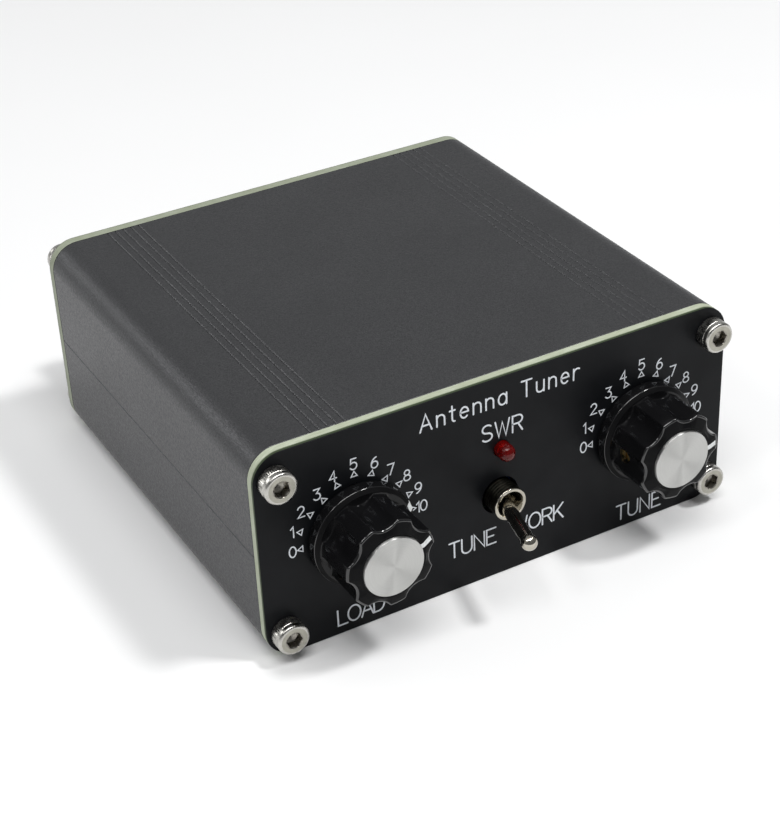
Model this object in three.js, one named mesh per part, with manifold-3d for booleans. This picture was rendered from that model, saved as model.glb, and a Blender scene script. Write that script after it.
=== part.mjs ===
// Antenna tuner in a split extruded case: two dials, a toggle switch and a lamp on the front panel,
// two coaxial sockets and a pair of binding posts on the rear panel.
// Millimetres. +X is right seen from the front, +Y runs to the back, +Z is up.
// The origin is the centre of the case's bottom face.

import * as THREE from 'three';
import { mergeVertices } from 'three/addons/utils/BufferGeometryUtils.js';
import Module from 'manifold-3d';

const wasm = await Module();
wasm.setup();

// ---- driving dimensions ----

const CASE_WIDTH = 88;
const CASE_HEIGHT = 38;
const CASE_DEPTH = 80;
const CORNER_RADIUS = 5;
const WALL = 2;
const PANEL = 2;
const FRONT = -CASE_DEPTH / 2 - PANEL;
const REAR = CASE_DEPTH / 2 + PANEL;

const GROOVE_FIRST_X = 26.85;
const GROOVE_PITCH = 1.5;
const GROOVE_COUNT = 5;
const GROOVE_WIDTH = 0.45;
const GROOVE_DEPTH = 0.2;

const SEAM_TONGUE = 0.9;
const SEAM_HEIGHT = 1;
const SEAM_GAP = 0.1;

const BOARD_BOTTOM = 11;
const BOARD_THICK = 1.6;
const BOARD_TOP = BOARD_BOTTOM + BOARD_THICK;
const BOARD_TONGUE_HALF = 15.5;
const BOARD_STEP_Y = -28.4;
const RIB_DEPTH = 1.5;
const RIB_THICK = 1.2;
const SLOT_SPACE = 0.2;

const SCREW_X = 40.6;
const SCREW_Z = 4.7;
const CHANNEL_BOSS = 3.2;
const CHANNEL_RADIUS = 1.6;
const CHANNEL_MOUTH = 0.7;
const M3_SHANK = 1.35;
const M3_CLEAR = 1.7;
const M3_HEAD = 2.75;
const M3_HEAD_HEIGHT = 3;
const M3_LENGTH = 10;

const DIAL_X = 27;
const AXIS_Z = 19.1;
const LOAD_POINTER_DEG = 19;
const TUNE_POINTER_DEG = 3;

const LOBES = 7;
const LOBE_RADIUS = 7.8;
const FLUTE_RADIUS = 6.75;
const FLUTE_DEG = 32;
const SKIRT_RADIUS = 8.9;
const KNOB_START = 0.5;
const SKIRT_TOP = 3;
const LOBE_TOP = 11;
const CAP_SEAT = 11.3;
const CAP_RADIUS = 5.2;
const CAP_THICK = 0.6;
const INSERT_RADIUS = 4.5;
const SET_SCREW_OUT = 5.3;
const SHAFT_RADIUS = 3;
const RUNNING_GAP = 0.05;

const CAPACITOR_SIZE = 20;
const CAPACITOR_DEPTH = 11;
const CAPACITOR_FRONT_WALL = 2.7;
const CAPACITOR_INNER = 8.8;
const MOUNT_SCREW_OFFSET = 6.3;

const SWITCH_X = -0.65;
const SWITCH_Z = 15.7;
const SWITCH_HOLE = 3.45;
const LEVER_TILT_DEG = 13.5;
const LEVER_PIVOT_OUT = 0.3;
const LEVER_BALL = 1.5;
const LEVER_TIP_REACH = 13.6;
const LEVER_TIP = 1.4;
const LEVER_TAIL_REACH = 4.6;
const BUSHING_RADIUS = 2.95;
const BUSHING_BORE = 1.6;
const BUSHING_MOUTH = 2.25;
const BUSHING_OUT = 3.3;
const SWITCH_BODY_OUT = -3.5;
const SWITCH_BODY_WIDTH = 12.8;
const SWITCH_BODY_DEPTH = 9.5;

const LAMP_X = -0.25;
const LAMP_Z = 24.6;
const LAMP_RADIUS = 1.45;
const LAMP_FLANGE = 1.9;
const LAMP_FLANGE_OUT = -3;
const LAMP_OUT = 2.9;
const LAMP_LEG_BACK = 14.2;

const SOCKET_X = 28;
const SOCKET_THREAD = 6.3;
const SOCKET_BARREL = 4.85;
const SOCKET_BORE = 4.05;
const SOCKET_LENGTH = 13;

const POST_X = 9.5;
const POST_STUD = 2.95;
const POST_LENGTH = 13;
const POST_CAP_RADIUS = 5.5;

const TOROID_Y = 2;
const TOROID_OUTER = 10;
const TOROID_INNER = 6.4;
const TOROID_HEIGHT = 6.4;
const WINDING_THICK = 0.8;
const WINDING_GAP = 0.1;

// ---- finishes ----

function finish(color, roughness, metalness) {
  return new THREE.MeshStandardMaterial({ color, roughness, metalness, flatShading: true });
}

const CASE_FINISH = finish(0x3a3b3e, 0.55, 0.8);
const PANEL_FINISH = finish(0x16181a, 0.45, 0);
const BOARD_FINISH = finish(0x14462c, 0.5, 0);
const STEEL_FINISH = finish(0xc9c8c4, 0.25, 1);
const NICKEL_FINISH = finish(0xb9b5ab, 0.2, 1);
const BRASS_FINISH = finish(0xc79a4a, 0.3, 1);
const ALUMINIUM_FINISH = finish(0xd2d3d4, 0.35, 1);
const KNOB_FINISH = finish(0x0b0b0c, 0.15, 0);
const LAMP_FINISH = finish(0xb3141a, 0.2, 0);
const CAPACITOR_FINISH = finish(0xe6e3d8, 0.5, 0);
const SWITCH_FINISH = finish(0x1f4f9a, 0.5, 0);
const CORE_FINISH = finish(0xa32a1c, 0.6, 0);
const COPPER_FINISH = finish(0xb3622c, 0.35, 1);
const LINK_FINISH = finish(0x7d3a1c, 0.4, 1);
const RESISTOR_FINISH = finish(0x6f9fc4, 0.5, 0);
const DIODE_FINISH = finish(0xb8582c, 0.3, 0);
const PTFE_FINISH = finish(0xeeede8, 0.5, 0);
const RED_FINISH = finish(0xa8161a, 0.4, 0);
const BLACK_FINISH = finish(0x141414, 0.4, 0);

// ---- solids ----

// Vertices merged, collapsed triangles dropped and all faces turned outwards.
function weld(source) {
  const bare = new THREE.BufferGeometry();
  const flat = source.index ? source.toNonIndexed() : source;
  bare.setAttribute('position', flat.attributes.position.clone());
  const merged = mergeVertices(bare, 1e-5);
  const index = merged.index.array;
  const position = merged.attributes.position;
  const corner = [0, 1, 2].map(() => new THREE.Vector3());
  const kept = [];
  let volume = 0;
  for (let i = 0; i < index.length; i += 3) {
    const [a, b, c] = [index[i], index[i + 1], index[i + 2]];
    if (a === b || b === c || c === a) continue;
    kept.push(a, b, c);
    corner.forEach((point, k) => point.fromBufferAttribute(position, [a, b, c][k]));
    volume += corner[0].dot(corner[1].clone().cross(corner[2]));
  }
  if (volume < 0) {
    for (let i = 0; i < kept.length; i += 3) [kept[i], kept[i + 1]] = [kept[i + 1], kept[i]];
  }
  merged.setIndex(kept);
  return merged;
}

function solidOf(geometry) {
  const welded = weld(geometry);
  const vertProperties = new Float32Array(welded.attributes.position.array);
  const triVerts = new Uint32Array(welded.index.array);
  return new wasm.Manifold(new wasm.Mesh({ numProp: 3, vertProperties, triVerts }));
}

function geometryOf(solid) {
  const mesh = solid.getMesh();
  const geometry = new THREE.BufferGeometry();
  geometry.setAttribute('position', new THREE.BufferAttribute(new Float32Array(mesh.vertProperties), 3));
  geometry.setIndex(Array.from(mesh.triVerts));
  return geometry;
}

function cut(geometry, ...tools) {
  return geometryOf(tools.reduce((solid, tool) => solid.subtract(solidOf(tool)), solidOf(geometry)));
}

function join(geometry, ...others) {
  return geometryOf(others.reduce((solid, other) => solid.add(solidOf(other)), solidOf(geometry)));
}

function box([x0, x1], [y0, y1], [z0, z1]) {
  const geometry = new THREE.BoxGeometry(x1 - x0, y1 - y0, z1 - z0);
  return geometry.translate((x0 + x1) / 2, (y0 + y1) / 2, (z0 + z1) / 2);
}

// Points of a circular arc in the outline's plane, angles in degrees.
function arc(centreX, centreY, radius, fromDeg, toDeg, steps) {
  return Array.from({ length: steps + 1 }, (_, i) => {
    const angle = THREE.MathUtils.degToRad(fromDeg + (toDeg - fromDeg) * i / steps);
    return new THREE.Vector2(centreX + radius * Math.cos(angle), centreY + radius * Math.sin(angle));
  });
}

function circle(centreX, centreY, radius, steps) {
  return arc(centreX, centreY, radius, 0, 360, steps).slice(0, steps);
}

function outlineShape(outline, holes = []) {
  const shape = new THREE.Shape(outline);
  shape.holes = holes.map((hole) => new THREE.Path(hole));
  return shape;
}

// An outline drawn in X and Z, extruded along Y.
function prismAlongY(outline, [y0, y1], holes = []) {
  const geometry = new THREE.ExtrudeGeometry(outlineShape(outline, holes), {
    depth: y1 - y0, bevelEnabled: false, steps: 1,
  });
  return geometry.rotateX(Math.PI / 2).translate(0, y1, 0);
}

// An outline drawn in X and Y, extruded along Z.
function slab(outline, [z0, z1], holes = []) {
  const geometry = new THREE.ExtrudeGeometry(outlineShape(outline, holes), {
    depth: z1 - z0, bevelEnabled: false, steps: 1,
  });
  return geometry.translate(0, 0, z0);
}

// A turned piece on a Y axis: [radius, distance out of the panel], side -1 at the front, +1 at the rear.
function turned(profile, side, steps = 24) {
  const points = profile.map(([radius, out]) => new THREE.Vector2(radius, side * out));
  return new THREE.LatheGeometry(points, steps);
}

function rod(radius, [from, to], side, steps = 24) {
  return turned([[0, from], [radius, from], [radius, to], [0, to]], side, steps);
}

const object = new THREE.Group();

function addPiece(parent, name, geometry, material) {
  const piece = new THREE.Mesh(weld(geometry), material);
  piece.geometry.computeVertexNormals();
  piece.name = name;
  parent.add(piece);
  return piece;
}

function groupAt(x, y, z) {
  const group = new THREE.Group();
  group.position.set(x, y, z);
  object.add(group);
  return group;
}

const mirrored = (points) => points.map((point) => new THREE.Vector2(-point.x, point.y)).reverse();

// ---- case ----

function groovePoints() {
  const points = [];
  for (let i = 0; i < GROOVE_COUNT; i += 1) {
    const x = GROOVE_FIRST_X + i * GROOVE_PITCH;
    points.push([x - GROOVE_WIDTH / 2, 0], [x, GROOVE_DEPTH], [x + GROOVE_WIDTH / 2, 0]);
  }
  return points.map(([x, z]) => new THREE.Vector2(x, z));
}

// Screw channel in the corner: a round boss with a round channel, open towards the inside of the case.
function screwChannelPoints() {
  const inner = CASE_WIDTH / 2 - WALL;
  const wallDeg = THREE.MathUtils.radToDeg(Math.acos((inner - SCREW_X) / CHANNEL_BOSS));
  const floorDeg = 180 + THREE.MathUtils.radToDeg(Math.asin((SCREW_Z - WALL) / CHANNEL_BOSS));
  const mouthDeg = THREE.MathUtils.radToDeg(Math.asin(CHANNEL_MOUTH / CHANNEL_BOSS));
  const holeDeg = THREE.MathUtils.radToDeg(Math.asin(CHANNEL_MOUTH / CHANNEL_RADIUS));
  return [
    ...arc(SCREW_X, SCREW_Z, CHANNEL_BOSS, wallDeg, 135 - mouthDeg, 4),
    ...arc(SCREW_X, SCREW_Z, CHANNEL_RADIUS, 135 - holeDeg, 135 + holeDeg - 360, 14),
    ...arc(SCREW_X, SCREW_Z, CHANNEL_BOSS, 135 + mouthDeg, floorDeg, 5),
  ];
}

// Right half of a half shell lying on its outer face: grooves, corner, side wall, seam, board slot, channel.
function halfShellPoints(seam) {
  const outer = CASE_WIDTH / 2;
  const inner = outer - WALL;
  const corner = arc(outer - CORNER_RADIUS, CORNER_RADIUS, CORNER_RADIUS, -90, 0, 7);
  const slotTop = BOARD_TOP + SLOT_SPACE;
  const rib = [
    [inner, slotTop + RIB_THICK],
    [inner - RIB_DEPTH, slotTop + RIB_THICK],
    [inner - RIB_DEPTH, slotTop],
    [inner, slotTop],
    [inner, BOARD_BOTTOM],
    [inner - RIB_DEPTH, BOARD_BOTTOM],
    [inner - RIB_DEPTH, BOARD_BOTTOM - RIB_THICK],
    [inner, BOARD_BOTTOM - RIB_THICK],
  ];
  const wall = [...seam, ...rib].map(([x, z]) => new THREE.Vector2(x, z));
  return [...groovePoints(), ...corner, ...wall, ...screwChannelPoints()];
}

function shellGeometry(seam, flipped) {
  const right = halfShellPoints(seam);
  const outline = [...right, ...mirrored(right)];
  if (flipped) outline.forEach((point) => point.set(point.x, CASE_HEIGHT - point.y));
  return prismAlongY(outline, [-CASE_DEPTH / 2, CASE_DEPTH / 2]);
}

function addShells() {
  const outer = CASE_WIDTH / 2;
  const inner = outer - WALL;
  const seamZ = CASE_HEIGHT / 2;
  const tongueX = inner + SEAM_TONGUE;
  const tongueZ = seamZ + SEAM_HEIGHT;
  const tongue = [[outer, seamZ], [tongueX, seamZ], [tongueX, tongueZ], [inner, tongueZ]];
  const rabbetX = tongueX + SEAM_GAP;
  const rabbetZ = seamZ - SEAM_HEIGHT - SEAM_GAP;
  const rabbet = [[outer, seamZ], [rabbetX, seamZ], [rabbetX, rabbetZ], [inner, rabbetZ]];
  addPiece(object, 'bottom_shell', shellGeometry(tongue, false), CASE_FINISH);
  addPiece(object, 'top_shell', shellGeometry(rabbet, true), CASE_FINISH);
}

// ---- end panels ----

const CORNERS = [
  ['upper_left', -SCREW_X, CASE_HEIGHT - SCREW_Z],
  ['upper_right', SCREW_X, CASE_HEIGHT - SCREW_Z],
  ['lower_left', -SCREW_X, SCREW_Z],
  ['lower_right', SCREW_X, SCREW_Z],
];

function panelOutline() {
  const x = CASE_WIDTH / 2 - CORNER_RADIUS;
  const high = CASE_HEIGHT - CORNER_RADIUS;
  return [
    ...arc(x, CORNER_RADIUS, CORNER_RADIUS, -90, 0, 7),
    ...arc(x, high, CORNER_RADIUS, 0, 90, 7),
    ...arc(-x, high, CORNER_RADIUS, 90, 180, 7),
    ...arc(-x, CORNER_RADIUS, CORNER_RADIUS, 180, 270, 7),
  ];
}

const cornerHoles = () => CORNERS.map(([, x, z]) => circle(x, z, M3_CLEAR, 12));

const MOUNT_SCREW_OFFSETS = [MOUNT_SCREW_OFFSET, -MOUNT_SCREW_OFFSET];

function addFrontPanel() {
  const holes = [
    ...cornerHoles(),
    circle(-DIAL_X, AXIS_Z, 4, 20),
    circle(DIAL_X, AXIS_Z, 4, 20),
    circle(SWITCH_X, SWITCH_Z, SWITCH_HOLE, 20),
    circle(LAMP_X, LAMP_Z, LAMP_RADIUS + 0.1, 20),
  ];
  const plate = prismAlongY(panelOutline(), [FRONT, FRONT + PANEL], holes);
  const countersinks = [-DIAL_X, DIAL_X].flatMap((x) => MOUNT_SCREW_OFFSETS.map((offset) => {
    const sink = turned([[0, -3], [1.3, -3], [1.3, -1], [2.8, 0.5], [0, 0.5]], -1, 16);
    return sink.translate(x, FRONT, AXIS_Z + offset);
  }));
  addPiece(object, 'front_panel', cut(plate, ...countersinks), PANEL_FINISH);
}

function addRearPanel() {
  const holes = [
    ...cornerHoles(),
    circle(-SOCKET_X, AXIS_Z, SOCKET_THREAD + 0.2, 24),
    circle(SOCKET_X, AXIS_Z, SOCKET_THREAD + 0.2, 24),
    circle(-POST_X, AXIS_Z, POST_STUD + 0.15, 20),
    circle(POST_X, AXIS_Z, POST_STUD + 0.15, 20),
  ];
  addPiece(object, 'rear_panel', prismAlongY(panelOutline(), [REAR - PANEL, REAR], holes), PANEL_FINISH);
}

function capScrewGeometry(side) {
  const chamfer = 0.35;
  const body = turned([
    [0, M3_HEAD_HEIGHT],
    [M3_HEAD - chamfer, M3_HEAD_HEIGHT],
    [M3_HEAD, M3_HEAD_HEIGHT - chamfer],
    [M3_HEAD, 0],
    [M3_SHANK, 0],
    [M3_SHANK, -M3_LENGTH],
    [0, -M3_LENGTH],
  ], side, 16);
  const socket = rod(1.44, [M3_HEAD_HEIGHT - 1.6, M3_HEAD_HEIGHT + 1], side, 6);
  return cut(body, socket);
}

function addCapScrews() {
  [['front', FRONT, -1], ['rear', REAR, 1]].forEach(([end, y, side]) => {
    CORNERS.forEach(([place, x, z]) => {
      addPiece(groupAt(x, y, z), `${end}_screw_${place}`, capScrewGeometry(side), STEEL_FINISH);
    });
  });
}

// ---- dials: knob, shaft and capacitor rotor turn together on one axis ----

// Seven lobes with scooped flutes between them; one lobe is centred on +X, where the pointer is.
function lobeOutline() {
  const sector = 360 / LOBES;
  const lobeDeg = sector - FLUTE_DEG;
  const halfFlute = THREE.MathUtils.degToRad(FLUTE_DEG / 2);
  const halfChord = LOBE_RADIUS * Math.sin(halfFlute);
  const sagitta = LOBE_RADIUS * Math.cos(halfFlute) - FLUTE_RADIUS;
  const scoopRadius = (halfChord ** 2 + sagitta ** 2) / (2 * sagitta);
  const scoopDeg = THREE.MathUtils.radToDeg(Math.asin(halfChord / scoopRadius));
  const points = [];
  for (let i = 0; i < LOBES; i += 1) {
    const lobe = i * sector;
    points.push(...arc(0, 0, LOBE_RADIUS, lobe - lobeDeg / 2, lobe + lobeDeg / 2, 2));
    const flute = lobe + sector / 2;
    const [centre] = arc(0, 0, FLUTE_RADIUS + scoopRadius, flute, flute, 1);
    const scoop = arc(centre.x, centre.y, scoopRadius, flute + 180 + scoopDeg, flute + 180 - scoopDeg, 5);
    points.push(...scoop.slice(1, -1));
  }
  return points;
}

function knobGeometry() {
  const lobes = prismAlongY(lobeOutline(), [-LOBE_TOP, -SKIRT_TOP + 0.2]);
  const core = turned([
    [0, KNOB_START],
    [SKIRT_RADIUS, KNOB_START],
    [SKIRT_RADIUS, KNOB_START + 0.8],
    [SKIRT_RADIUS - 0.3, SKIRT_TOP],
    [FLUTE_RADIUS - 0.15, SKIRT_TOP],
    [FLUTE_RADIUS - 0.15, LOBE_TOP],
    [CAP_RADIUS + 0.5, LOBE_TOP + 0.5],
    [0, LOBE_TOP + 0.5],
  ], -1, 32);
  const bore = rod(INSERT_RADIUS + 0.1, [KNOB_START - 1, 9.6], -1);
  const seat = rod(CAP_RADIUS + 0.15, [CAP_SEAT, CAP_SEAT + 2], -1);
  const under = turned([[5.8, -1], [8, -1], [8, 1.6], [5.8, 1.6], [5.8, -1]], -1);
  const screwHole = new THREE.CylinderGeometry(1.6, 1.6, 10, 12);
  screwHole.rotateZ(Math.PI / 2).translate(-8, -SET_SCREW_OUT, 0);
  return cut(join(lobes, core), bore, seat, under, screwHole);
}

function knobCapGeometry() {
  const top = CAP_SEAT + CAP_THICK;
  return turned([
    [0, CAP_SEAT],
    [CAP_RADIUS, CAP_SEAT],
    [CAP_RADIUS, top - 0.15],
    [CAP_RADIUS - 0.2, top],
    [0, top],
  ], -1);
}

function insertGeometry() {
  const inner = SHAFT_RADIUS + RUNNING_GAP;
  const sleeve = turned([
    [inner, KNOB_START],
    [INSERT_RADIUS, KNOB_START],
    [INSERT_RADIUS, 9.5],
    [inner, 9.5],
    [inner, KNOB_START],
  ], -1);
  const hole = new THREE.CylinderGeometry(1.3, 1.3, 4, 12);
  hole.rotateZ(Math.PI / 2).translate(-4, -SET_SCREW_OUT, 0);
  return cut(sleeve, hole);
}

const SHAFT_FLAT = 2.5;

function setScrewGeometry() {
  const length = 3.9;
  const body = new THREE.CylinderGeometry(1.2, 1.2, length, 12);
  body.rotateZ(Math.PI / 2).translate(-SHAFT_FLAT - length / 2, -SET_SCREW_OUT, 0);
  const end = -SHAFT_FLAT - length;
  const slot = box([end - 1, end + 0.6], [-SET_SCREW_OUT - 0.2, -SET_SCREW_OUT + 0.2], [-2, 2]);
  return cut(body, slot);
}

const TONGUE_HALF = 2;
const SHAFT_JOINT = 1;
const TONGUE_END = 3;

function rotorGeometry() {
  const shaft = turned([
    [0, TONGUE_END],
    [SHAFT_RADIUS, TONGUE_END],
    [SHAFT_RADIUS, -4.8],
    [4, -4.8],
    [4, -5.4],
    [1.5, -5.4],
    [1.5, -11.9],
    [0, -11.9],
  ], -1);
  const halfDisc = arc(0, 0, CAPACITOR_INNER - 0.4, 0, 180, 16);
  const plates = [6.5, 8.6].map((depth) => prismAlongY(halfDisc, [depth, depth + 0.4]));
  const flats = [-1, 1].map((sign) => {
    const sides = [sign * TONGUE_HALF, sign * 5].sort((a, b) => a - b);
    return box(sides, [-TONGUE_END - 1, -SHAFT_JOINT], [-5, 5]);
  });
  const tapping = rod(1.3, [-3, TONGUE_END + 1], -1, 12);
  return cut(join(shaft, ...plates), ...flats, tapping);
}

function extensionGeometry() {
  const end = 9;
  const body = rod(SHAFT_RADIUS, [SHAFT_JOINT, end], -1);
  const slot = box([-TONGUE_HALF - 0.1, TONGUE_HALF + 0.1], [-TONGUE_END - 0.1, 0], [-5, 5]);
  const flat = box([-5, -SHAFT_FLAT], [-end - 1, -TONGUE_END - 0.6], [-5, 5]);
  const hole = rod(1.35, [0, end + 1], -1, 12);
  const counterbore = rod(2.1, [7.2, end + 1], -1, 16);
  return cut(body, slot, flat, hole, counterbore);
}

function slottedScrew(profile, headOut, slotWidth) {
  const slot = box([-slotWidth / 2, slotWidth / 2], [-headOut - 1, -headOut + 0.5], [-4, 4]);
  return cut(turned(profile, -1, 16), slot);
}

function shaftScrewGeometry() {
  return slottedScrew([[0, 8.6], [1.95, 8.6], [1.95, 7.2], [1.2, 7.2], [1.2, -2.5], [0, -2.5]], 8.6, 0.5);
}

function mountScrewGeometry() {
  return slottedScrew([[0, 0], [2.2, 0], [1.15, -1.05], [1.15, -4.2], [0, -4.2]], 0, 0.5);
}

// Closed box behind the panel, with its shaft hole and blind screw holes in the thick front wall.
function capacitorCaseGeometry(inward) {
  const half = CAPACITOR_SIZE / 2;
  const back = PANEL + CAPACITOR_DEPTH;
  const cavityFront = PANEL + CAPACITOR_FRONT_WALL;
  const inner = [-CAPACITOR_INNER, CAPACITOR_INNER];
  const lug = [inward * 7.6, inward * CAPACITOR_INNER].sort((a, b) => a - b);
  const blindHoles = MOUNT_SCREW_OFFSETS.map((z) => rod(1.25, [-4.4, 0], -1, 12).translate(0, 0, z));
  return cut(
    box([-half, half], [PANEL, back], [-half, half]),
    box(inner, [cavityFront, back - 1], inner),
    rod(SHAFT_RADIUS + 2 * RUNNING_GAP, [-6, 0], -1),
    box(lug, [back - 2, back + 1], [-6.7, -5.3]),
    ...blindHoles,
  );
}

// Fixed plates below the shaft, joined by a bar whose tail comes out of the case and lies on the board.
function statorGeometry(inward) {
  const width = [-CAPACITOR_INNER, CAPACITOR_INNER];
  const height = [-CAPACITOR_INNER, -1.9];
  const plates = [7.5, 9.6].map((depth) => box(width, [depth, depth + 0.4], height));
  const bar = [inward * 7.8, inward * CAPACITOR_INNER].sort((a, b) => a - b);
  const barLow = BOARD_TOP - AXIS_Z;
  return join(box(bar, [7.5, 17], [barLow, barLow + 1]), ...plates);
}

function addDial(name, side, pointerDeg) {
  const still = groupAt(side * DIAL_X, FRONT, AXIS_Z);
  addPiece(still, `${name}_capacitor_case`, capacitorCaseGeometry(-side), CAPACITOR_FINISH);
  addPiece(still, `${name}_capacitor_stator`, statorGeometry(-side), BRASS_FINISH);
  MOUNT_SCREW_OFFSETS.forEach((z, i) => {
    const screw = addPiece(still, `${name}_mount_screw_${i + 1}`, mountScrewGeometry(), STEEL_FINISH);
    screw.position.z = z;
  });
  const turning = groupAt(side * DIAL_X, FRONT, AXIS_Z);
  turning.rotation.y = -THREE.MathUtils.degToRad(pointerDeg);
  addPiece(turning, `${name}_knob`, knobGeometry(), KNOB_FINISH);
  addPiece(turning, `${name}_knob_cap`, knobCapGeometry(), ALUMINIUM_FINISH);
  addPiece(turning, `${name}_knob_insert`, insertGeometry(), BRASS_FINISH);
  addPiece(turning, `${name}_set_screw`, setScrewGeometry(), BRASS_FINISH);
  addPiece(turning, `${name}_shaft_extension`, extensionGeometry(), ALUMINIUM_FINISH);
  addPiece(turning, `${name}_shaft_screw`, shaftScrewGeometry(), STEEL_FINISH);
  addPiece(turning, `${name}_capacitor_rotor`, rotorGeometry(), BRASS_FINISH);
}

// ---- toggle switch and lamp ----

function switchBodyGeometry() {
  const front = -SWITCH_BODY_OUT;
  const halfWidth = SWITCH_BODY_WIDTH / 2;
  const low = BOARD_TOP - SWITCH_Z;
  const body = box([-halfWidth, halfWidth], [front, front + SWITCH_BODY_DEPTH], [low, -low]);
  const cavity = box([-2.3, 2.3], [front - 1, front + 3], [-1.3, 1.3]);
  return cut(body, cavity);
}

function bushingGeometry() {
  return turned([
    [BUSHING_BORE, SWITCH_BODY_OUT],
    [BUSHING_RADIUS, SWITCH_BODY_OUT],
    [BUSHING_RADIUS, BUSHING_OUT - 0.3],
    [BUSHING_RADIUS - 0.3, BUSHING_OUT],
    [BUSHING_MOUTH, BUSHING_OUT],
    [BUSHING_BORE, BUSHING_OUT - 1.3],
    [BUSHING_BORE, SWITCH_BODY_OUT],
  ], -1);
}

// A half profile's arc round a point on the axis, kept off the far side of the axis by rounding.
function arcOnAxis(out, radius, fromDeg, toDeg, steps) {
  return arc(0, out, radius, fromDeg, toDeg, steps).map(({ x, y }) => [Math.abs(x) < 1e-6 ? 0 : x, y]);
}

// The lever's profile runs from its tail, through the ball on the pivot, to the rounded tip.
function leverGeometry() {
  return turned([
    [0, -LEVER_TAIL_REACH],
    [0.4, -LEVER_TAIL_REACH],
    [0.5, -LEVER_TAIL_REACH + 0.2],
    ...arcOnAxis(0, LEVER_BALL, -62, 46, 5),
    ...arcOnAxis(LEVER_TIP_REACH, LEVER_TIP, -35, 90, 5),
  ], -1, 12);
}

function addSwitch() {
  const group = groupAt(SWITCH_X, FRONT, SWITCH_Z);
  addPiece(group, 'toggle_body', switchBodyGeometry(), SWITCH_FINISH);
  addPiece(group, 'toggle_bushing', bushingGeometry(), NICKEL_FINISH);
  const lever = addPiece(group, 'toggle_lever', leverGeometry(), NICKEL_FINISH);
  lever.position.y = -LEVER_PIVOT_OUT;
  lever.rotation.z = -THREE.MathUtils.degToRad(LEVER_TILT_DEG);
}

// A domed lens on a flange, with two legs that run back and bend down onto the board.
function addLamp() {
  const lens = turned([
    [0, LAMP_FLANGE_OUT - 1],
    [LAMP_FLANGE, LAMP_FLANGE_OUT - 1],
    [LAMP_FLANGE, LAMP_FLANGE_OUT],
    [LAMP_RADIUS, LAMP_FLANGE_OUT],
    ...arcOnAxis(LAMP_OUT - LAMP_RADIUS, LAMP_RADIUS, 0, 90, 5),
  ], -1, 16);
  const legs = [-1.27, 1.27].flatMap((x) => {
    const width = [x - 0.25, x + 0.25];
    const across = box(width, [-LAMP_FLANGE_OUT + 0.5, LAMP_LEG_BACK], [-0.25, 0.25]);
    const down = box(width, [LAMP_LEG_BACK - 0.5, LAMP_LEG_BACK], [BOARD_TOP - LAMP_Z, 0.25]);
    return [across, down];
  });
  addPiece(groupAt(LAMP_X, FRONT, LAMP_Z), 'lamp', join(lens, ...legs), LAMP_FINISH);
}

// ---- circuit board and what stands on it ----

function addBoard() {
  const half = CASE_WIDTH / 2 - WALL - 0.2;
  const end = CASE_DEPTH / 2 - 0.4;
  const outline = [
    [-BOARD_TONGUE_HALF, -end],
    [BOARD_TONGUE_HALF, -end],
    [BOARD_TONGUE_HALF, BOARD_STEP_Y],
    [half, BOARD_STEP_Y],
    [half, end],
    [-half, end],
    [-half, BOARD_STEP_Y],
    [-BOARD_TONGUE_HALF, BOARD_STEP_Y],
  ].map(([x, y]) => new THREE.Vector2(x, y));
  addPiece(object, 'main_board', slab(outline, [BOARD_BOTTOM, BOARD_TOP]), BOARD_FINISH);
}

function ringAroundZ(inner, outer, [z0, z1], steps) {
  return slab(circle(0, 0, outer, steps), [z0, z1], [circle(0, 0, inner, steps)]);
}

// A sleeve of turns round the core, over part of its ring.
function windingGeometry(fromDeg, toDeg, coreZ, steps) {
  const outer = TOROID_OUTER + WINDING_GAP + WINDING_THICK;
  const inner = TOROID_INNER - WINDING_GAP - WINDING_THICK;
  const sector = [...arc(0, 0, outer, fromDeg, toDeg, steps), ...arc(0, 0, inner, toDeg, fromDeg, steps)];
  const sleeve = slab(sector, [BOARD_TOP, coreZ[1] + WINDING_GAP + WINDING_THICK]);
  const space = [coreZ[0] - WINDING_GAP, coreZ[1] + WINDING_GAP];
  return cut(sleeve, ringAroundZ(TOROID_INNER - WINDING_GAP, TOROID_OUTER + WINDING_GAP, space, 36));
}

function addToroid() {
  const low = BOARD_TOP + WINDING_THICK + WINDING_GAP;
  const coreZ = [low, low + TOROID_HEIGHT];
  const group = groupAt(0, TOROID_Y, 0);
  addPiece(group, 'toroid_core', ringAroundZ(TOROID_INNER, TOROID_OUTER, coreZ, 36), CORE_FINISH);
  addPiece(group, 'main_winding', windingGeometry(-240, 40, coreZ, 28), COPPER_FINISH);
  addPiece(group, 'link_winding', windingGeometry(50, 110, coreZ, 6), LINK_FINISH);
}

// A small part lying on the board along X, with two legs bent down onto it.
function axialGeometry(radius, length) {
  const centre = BOARD_TOP + radius + 0.2;
  const body = new THREE.CylinderGeometry(radius, radius, length, 12);
  body.rotateZ(Math.PI / 2).translate(0, 0, centre);
  const legs = [-1, 1].flatMap((sign) => {
    const foot = sign * (length / 2 + 1.8);
    const reach = [sign * (length / 2 - 0.3), foot].sort((a, b) => a - b);
    const down = [foot - sign * 0.5, foot].sort((a, b) => a - b);
    return [
      box(reach, [-0.25, 0.25], [centre - 0.25, centre + 0.25]),
      box(down, [-0.25, 0.25], [BOARD_TOP, centre + 0.25]),
    ];
  });
  return join(body, ...legs);
}

function addBridge() {
  [-17, -11, -5].forEach((y, i) => {
    addPiece(groupAt(-26, y, 0), `bridge_resistor_${i + 1}`, axialGeometry(1.2, 6.3), RESISTOR_FINISH);
  });
  addPiece(groupAt(25, -14, 0), 'detector_diode', axialGeometry(0.95, 4), DIODE_FINISH);
}

// ---- rear sockets and binding posts ----

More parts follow.
